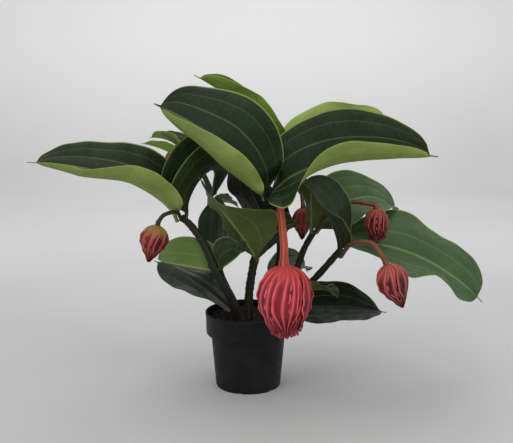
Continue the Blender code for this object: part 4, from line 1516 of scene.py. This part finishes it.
# Each leaf: node, base, heading, rise, droop, length, width, its halves' slopes near the base and the tip
LEAVES = (
    Leaf("leaf_far_left", (-0.110, -0.057, 0.290), 191, 70, 67, 0.242, 0.129, (-1, 77), (57, 70),
         (-55, 64), (41, 43), sweep=11, roll=-4, reach=0.004, twist=5, ease=0.42, broad=0.40, blunt=0.64,
         waves=2.4, phase=1.0),
    Leaf("leaf_left_arch", (-0.094, -0.056, 0.296), 23, 83, 174, 0.187, 0.137, (59, 56), (60, 120),
         (78, 85), (20, 108), flare=0.9, sweep=99, roll=15, reach=0.004, twist=8, ease=1.11, broad=0.49,
         wave=0.003, look=Look.DUSKY),
    Leaf("leaf_top_left", (0.024, -0.072, 0.325), 195, 75, 51, 0.220, 0.166, (-58, 138), (56, 69),
         (-32, 104), (16, 24), flare=0.55, sweep=8, roll=-30, twist=-16, ease=0.47, broad=0.57, blunt=0.57,
         waves=2.0),
    Leaf("leaf_top_right", (0.037, -0.060, 0.324), -28, 72, 78, 0.266, 0.162, (65, 46), (-10, -50),
         (77, 55), (-13, 94), flare=0.55, sweep=28, roll=-1, reach=0.007, twist=24, ease=0.36, broad=0.25,
         blunt=0.54, blend=0.35, waves=2.2),
    Leaf("leaf_top_left_back", (0.056, 0.046, 0.368), 192, 61, 36, 0.204, 0.104, (15, 52), (30, 60),
         (19, 58), (29, 57), sweep=9, roll=-4, reach=0.007, twist=-2, blunt=0.64, look=Look.FRESH,
         slot=LeafSlot.LIGHT),
    Leaf("leaf_top_right_back", (0.067, 0.058, 0.369), 9, 56, 76, 0.196, 0.112, (41, 45), (39, 58),
         (34, 31), (34, 50), sweep=-5, roll=0, reach=0.006, twist=1, ease=0.93, broad=0.44, blunt=0.65,
         wave=0.005, waves=2.2, look=Look.SUNLIT, slot=LeafSlot.LIGHT),
    Leaf("leaf_right_big", (0.152, -0.038, 0.242), 7, 14, 58, 0.243, 0.184, (45, 47), (-36, -12), (32, 1),
         (-6, 19), sweep=-25, roll=-26, reach=0.004, twist=46, ease=0.62, broad=0.44, blunt=0.43,
         waves=2.6, phase=2.0, look=Look.BROAD),
    Leaf("leaf_right_arch", (0.143, -0.053, 0.239), 200, 78, 37, 0.129, 0.111, (16, 49), (14, 59),
         (11, 21), (20, 60), sweep=-17, roll=-24, reach=0.004, twist=3, broad=0.49, blunt=0.54, wave=0.002,
         look=Look.DUSKY),
    Leaf("leaf_right_upper", (0.116, 0.015, 0.258), 26, 48, 110, 0.195, 0.123, (40, 39), (-20, 0),
         (40, 40), (-20, 0), sweep=6, roll=0, reach=0.005, twist=5, ease=1.32, broad=0.43, phase=1.0,
         look=Look.BROAD),
    Leaf("leaf_right_inner", (0.103, 0.007, 0.259), 262, 70, 8, 0.100, 0.080, (37, 57), (46, 80), (20, 30),
         (20, 31), sweep=6, roll=-10, twist=-3, broad=0.43, blunt=0.65, wave=0.002, fine=False,
         look=Look.OLIVE),
    Leaf("leaf_inner_dark", (0.044, 0.057, 0.237), 218, 59, 14, 0.170, 0.105, (10, 20), (2, 6), (-1, -1),
         (4, 8), sweep=41, roll=2, reach=0.004, twist=-11, broad=0.47, blunt=0.56, wave=0.003, fine=False,
         look=Look.SHADED, slot=LeafSlot.DARK),
    Leaf("leaf_inner_small", (-0.058, 0.083, 0.287), -2, 34, 84, 0.046, 0.047, (17, 43), (10, 30), (6, 22),
         (10, 30), sweep=10, roll=4, reach=0.002, twist=-3, wave=0.002, fine=False),
    Leaf("leaf_inner_left", (-0.053, 0.054, 0.200), 123, 105, 27, 0.110, 0.081, (-5, 10), (-20, -20),
         (-26, -29), (-20, -20), sweep=3, roll=9, reach=0.002, twist=-1, broad=0.48, wave=0.002,
         fine=False, look=Look.BLUISH),
    Leaf("leaf_left_fork_outer", (-0.048, -0.051, 0.203), 199, 17, 25, 0.120, 0.094, (68, 78), (50, 50),
         (77, 91), (50, 50), sweep=-92, roll=24, reach=0.002, twist=-16, ease=0.8, broad=0.30, blunt=0.53,
         wave=0.002, waves=2.0, fine=False, look=Look.BROAD),
    Leaf("leaf_left_fork_inner", (-0.040, -0.068, 0.213), -30, 34, 2, 0.062, 0.079, (50, 50), (74, 84),
         (50, 50), (65, 106), sweep=-44, roll=3, reach=0.004, twist=-9, broad=0.43, blunt=0.66, wave=0.002,
         waves=2.0, fine=False, look=Look.DUSKY),
    Leaf("leaf_middle_fork_left", (0.012, -0.040, 0.224), 227, 52, -4, 0.161, 0.134, (55, 63), (5, 19),
         (0, -5), (-4, -7), sweep=-56, roll=5, reach=0.004, twist=2, broad=0.47, blunt=0.68, wave=0.003,
         waves=2.0, look=Look.OLIVE),
    Leaf("leaf_middle_fork_right", (0.015, -0.019, 0.216), -27, 69, 55, 0.104, 0.066, (21, 14), (40, 60),
         (25, 21), (53, 78), sweep=-13, roll=-24, reach=0.004, twist=-15, broad=0.47, blunt=0.54,
         wave=0.002, waves=2.0, fine=False, look=Look.DUSKY),
    Leaf("leaf_low_left", (-0.023, -0.006, 0.122), 164, 42, 24, 0.160, 0.102, (-20, 10), (30, 29),
         (-39, -27), (22, 14), sweep=3, roll=15, twist=-1, blunt=0.52, wave=0.003, waves=2.0, fine=False,
         look=Look.GLOSSY, slot=LeafSlot.DARK),
    Leaf("leaf_low_right", (0.066, -0.012, 0.128), 0, 11, 29, 0.170, 0.096, (48, 34), (-13, -6), (48, 39),
         (-11, -2), sweep=22, roll=8, reach=0.002, twist=-3, ease=0.88, blunt=0.68, wave=0.003, waves=2.0,
         fine=False, look=Look.GLOSSY, slot=LeafSlot.DARK),
    Leaf("leaf_back_low", (0.045, 0.056, 0.162), 32, 57, 119, 0.097, 0.069, (-4, 14), (0, 20), (20, 49),
         (0, 20), sweep=21, roll=12, reach=0.004, twist=10, ease=1.1, blunt=0.58, wave=0.002, fine=False,
         look=Look.GREYISH),
    Leaf("leaf_young", (0.098, -0.021, 0.164), -38, 24, 43, 0.067, 0.037, (22, 15), (34, 38), (31, 32),
         (29, 29), sweep=-26, roll=-10, reach=0.002, twist=-2, blunt=0.60, wave=0.002, fine=False,
         look=Look.OLIVE, slot=LeafSlot.LIGHT),
    Leaf("leaf_far_back_low", (-0.098, 0.093, 0.350), 165, 42, 36, 0.099, 0.042, (30, 60), (30, 59),
         (26, 54), (22, 46), sweep=4, roll=9, twist=3, blunt=0.64, wave=0.002, fine=False,
         look=Look.FRESH, slot=LeafSlot.LIGHT),
    Leaf("leaf_far_back_high", (-0.093, 0.096, 0.350), 146, 63, 72, 0.111, 0.064, (30, 50), (31, 52),
         (28, 46), (24, 40), sweep=9, roll=2, twist=2, blunt=0.64, wave=0.002, fine=False),
)

# Each bud: name, points of its stalk, the stalk's radii, the bud's tip, radius and bracts, and its open mouth
BLOOMS = (
    Bloom("front", ((0.045, -0.060, 0.325), (0.051, -0.085, 0.298), (0.055, -0.105, 0.256),
          (0.055, -0.110, 0.226)), (0.0044, 0.0062), (0.058, -0.110, 0.117), 0.0385, 6, True, Hue.SALMON),
    Bloom("left", ((-0.102, -0.063, 0.290), (-0.107, -0.082, 0.302), (-0.123, -0.097, 0.300),
          (-0.133, -0.100, 0.285)), (0.0026, 0.0030), (-0.148, -0.100, 0.228), 0.0200, 4,
          hue=Hue.GREEN_TOPPED),
    Bloom("right", ((0.111, 0.008, 0.256), (0.134, -0.009, 0.291), (0.164, -0.020, 0.307),
          (0.184, -0.030, 0.307), (0.200, -0.036, 0.300)), (0.0028, 0.0034), (0.204, -0.036, 0.248), 0.0180,
          5, True),
    Bloom("far_right", ((0.146, -0.048, 0.227), (0.155, -0.103, 0.257), (0.181, -0.127, 0.263),
          (0.194, -0.138, 0.248), (0.202, -0.138, 0.234)), (0.0030, 0.0036), (0.228, -0.138, 0.168), 0.0225,
          4),
    Bloom("back", ((0.068, 0.060, 0.358), (0.080, 0.054, 0.342), (0.088, 0.048, 0.313),
          (0.091, 0.046, 0.288)), (0.0026, 0.0030), (0.090, 0.046, 0.233), 0.0165, 4),
    Bloom("far_back", ((-0.0815, 0.0953, 0.3387), (-0.115, 0.139, 0.379), (-0.122, 0.144, 0.383),
          (-0.128, 0.149, 0.378)), (0.0024, 0.0028), (-0.135, 0.151, 0.328), 0.0160, 4),
)

# Each leaf finish: upper face and its patches, underside and its patches, nerves, rim
# the pale undersides are partly the leaves' own paler green and partly painted light shining through the
# blade
FINISHES = {
    Look.DEEP: LeafFinish("deep_leaf", linear(31, 51, 22), linear(22, 38, 16), linear(138, 155, 80),
                          linear(118, 136, 66), linear(146, 164, 98), linear(150, 168, 92)),
    Look.FRESH: LeafFinish("fresh_leaf", linear(72, 102, 38), linear(56, 84, 30), linear(126, 154, 58),
                           linear(108, 136, 48), linear(166, 186, 108), linear(168, 186, 104)),
    Look.OLIVE: LeafFinish("olive_leaf", linear(42, 60, 26), linear(32, 48, 20), linear(92, 106, 54),
                           linear(74, 88, 42), linear(132, 148, 88), linear(140, 156, 88)),
    Look.BROAD: LeafFinish("broad_leaf", linear(66, 92, 52), linear(52, 76, 40), linear(112, 138, 72),
                           linear(94, 120, 60), linear(140, 160, 100), linear(150, 168, 104)),
    Look.GLOSSY: LeafFinish("glossy_leaf", linear(26, 40, 22), linear(17, 27, 15), linear(54, 68, 36),
                            linear(38, 52, 28), linear(82, 98, 62), linear(92, 106, 62),
                            upper_rough=0.34, under_rough=0.5, gloss=0.24),
    Look.SHADED: LeafFinish("shaded_leaf", linear(22, 26, 21), linear(16, 19, 15), linear(30, 34, 27),
                            linear(22, 26, 20), linear(70, 78, 62), linear(64, 72, 54),
                            upper_rough=0.42, under_rough=0.55, gloss=0.25),
    # painted reflection: a bluish glossy sheen painted into both faces
    Look.BLUISH: LeafFinish("painted_sheen_leaf", linear(62, 80, 60), linear(48, 66, 50), linear(66, 82, 64),
                            linear(48, 64, 52), linear(140, 152, 124), linear(118, 134, 100)),
    Look.GREYISH: LeafFinish("greyish_leaf", linear(60, 74, 56), linear(46, 60, 44), linear(88, 104, 72),
                             linear(72, 88, 60), linear(122, 138, 106), linear(132, 146, 108)),
    Look.SUNLIT: LeafFinish("sunlit_leaf", linear(146, 168, 82), linear(128, 152, 70), linear(188, 206, 116),
                            linear(172, 192, 98), linear(202, 214, 140), linear(194, 208, 130)),
    Look.DUSKY: LeafFinish("dusky_leaf", linear(44, 62, 36), linear(32, 48, 24), linear(42, 58, 22),
                           linear(30, 44, 15), linear(104, 120, 66), linear(136, 154, 84)),
}

# Each bract finish: shoulder, body, tip (also the colour of the painted shade in the hollows), ribs
HUES = {
    Hue.SALMON: BractFinish("salmon_bract", linear(224, 74, 70), linear(214, 50, 68), linear(92, 4, 18),
                            linear(238, 118, 126)),
    Hue.GREEN_TOPPED: BractFinish("green_topped_bract", linear(158, 142, 66), linear(166, 42, 46),
                                  linear(50, 5, 10), linear(200, 108, 84)),
    Hue.ROSE: BractFinish("rose_bract", linear(182, 80, 62), linear(168, 44, 54), linear(52, 5, 12),
                          linear(208, 112, 106)),
}

INNER_BRACT = BractFinish("inner_bract", linear(120, 20, 36), linear(110, 16, 32), linear(80, 10, 22),
                          linear(140, 40, 52))
FLORET_SKIN = BractFinish("floret_skin", linear(150, 24, 46), linear(164, 30, 54), linear(196, 70, 88),
                          linear(190, 66, 84), ribs=3.0)
BARK = BarkFinish("winged_bark", linear(31, 29, 18), linear(40, 46, 24), linear(66, 64, 40))

# Each stalk finish: foot, top, ridges
STALKS = {
    Hue.SALMON: BarkFinish("salmon_stalk", linear(196, 84, 62), linear(192, 70, 58), linear(222, 128, 104),
                           ribs=5.0, roughness=0.42, bump=0.45),
    Hue.GREEN_TOPPED: BarkFinish("olive_stalk", linear(42, 44, 26), linear(62, 50, 30), linear(80, 72, 48),
                                 ribs=5.0, roughness=0.45, bump=0.45),
    Hue.ROSE: BarkFinish("brownish_stalk", linear(88, 64, 42), linear(140, 76, 56), linear(158, 106, 78),
                         ribs=5.0, roughness=0.45, bump=0.45),
}


def main() -> None:
    """Build the studio and every piece of the plant, in order from the pot up."""
    logging.basicConfig(level=logging.INFO, format="%(name)s: %(message)s")
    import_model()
    nerve_group()
    mottle_group()
    rib_group()
    Studio().build()
    Pot().build(PotFinish().dress())
    Soil().build(SoilFinish().dress())
    bark = BARK.dress()
    for seed, stem in enumerate(STEMS):
        stem.build(seed, bark)
    blades = {look: [finish.dress(side) for side in Side] for look, finish in FINISHES.items()}
    for seed, leaf in enumerate(LEAVES):
        leaf.build(seed, blades)
    core = INNER_BRACT.dress()
    florets = FLORET_SKIN.dress()
    bracts = {hue: finish.dress() for hue, finish in HUES.items()}
    skins = {hue: finish.dress() for hue, finish in STALKS.items()}
    for seed, bloom in enumerate(BLOOMS, FIRST_BLOOM_SEED):
        bloom.build(seed, [bracts[bloom.hue], core, florets], skins[bloom.hue])


if __name__ == "__main__":
    main()
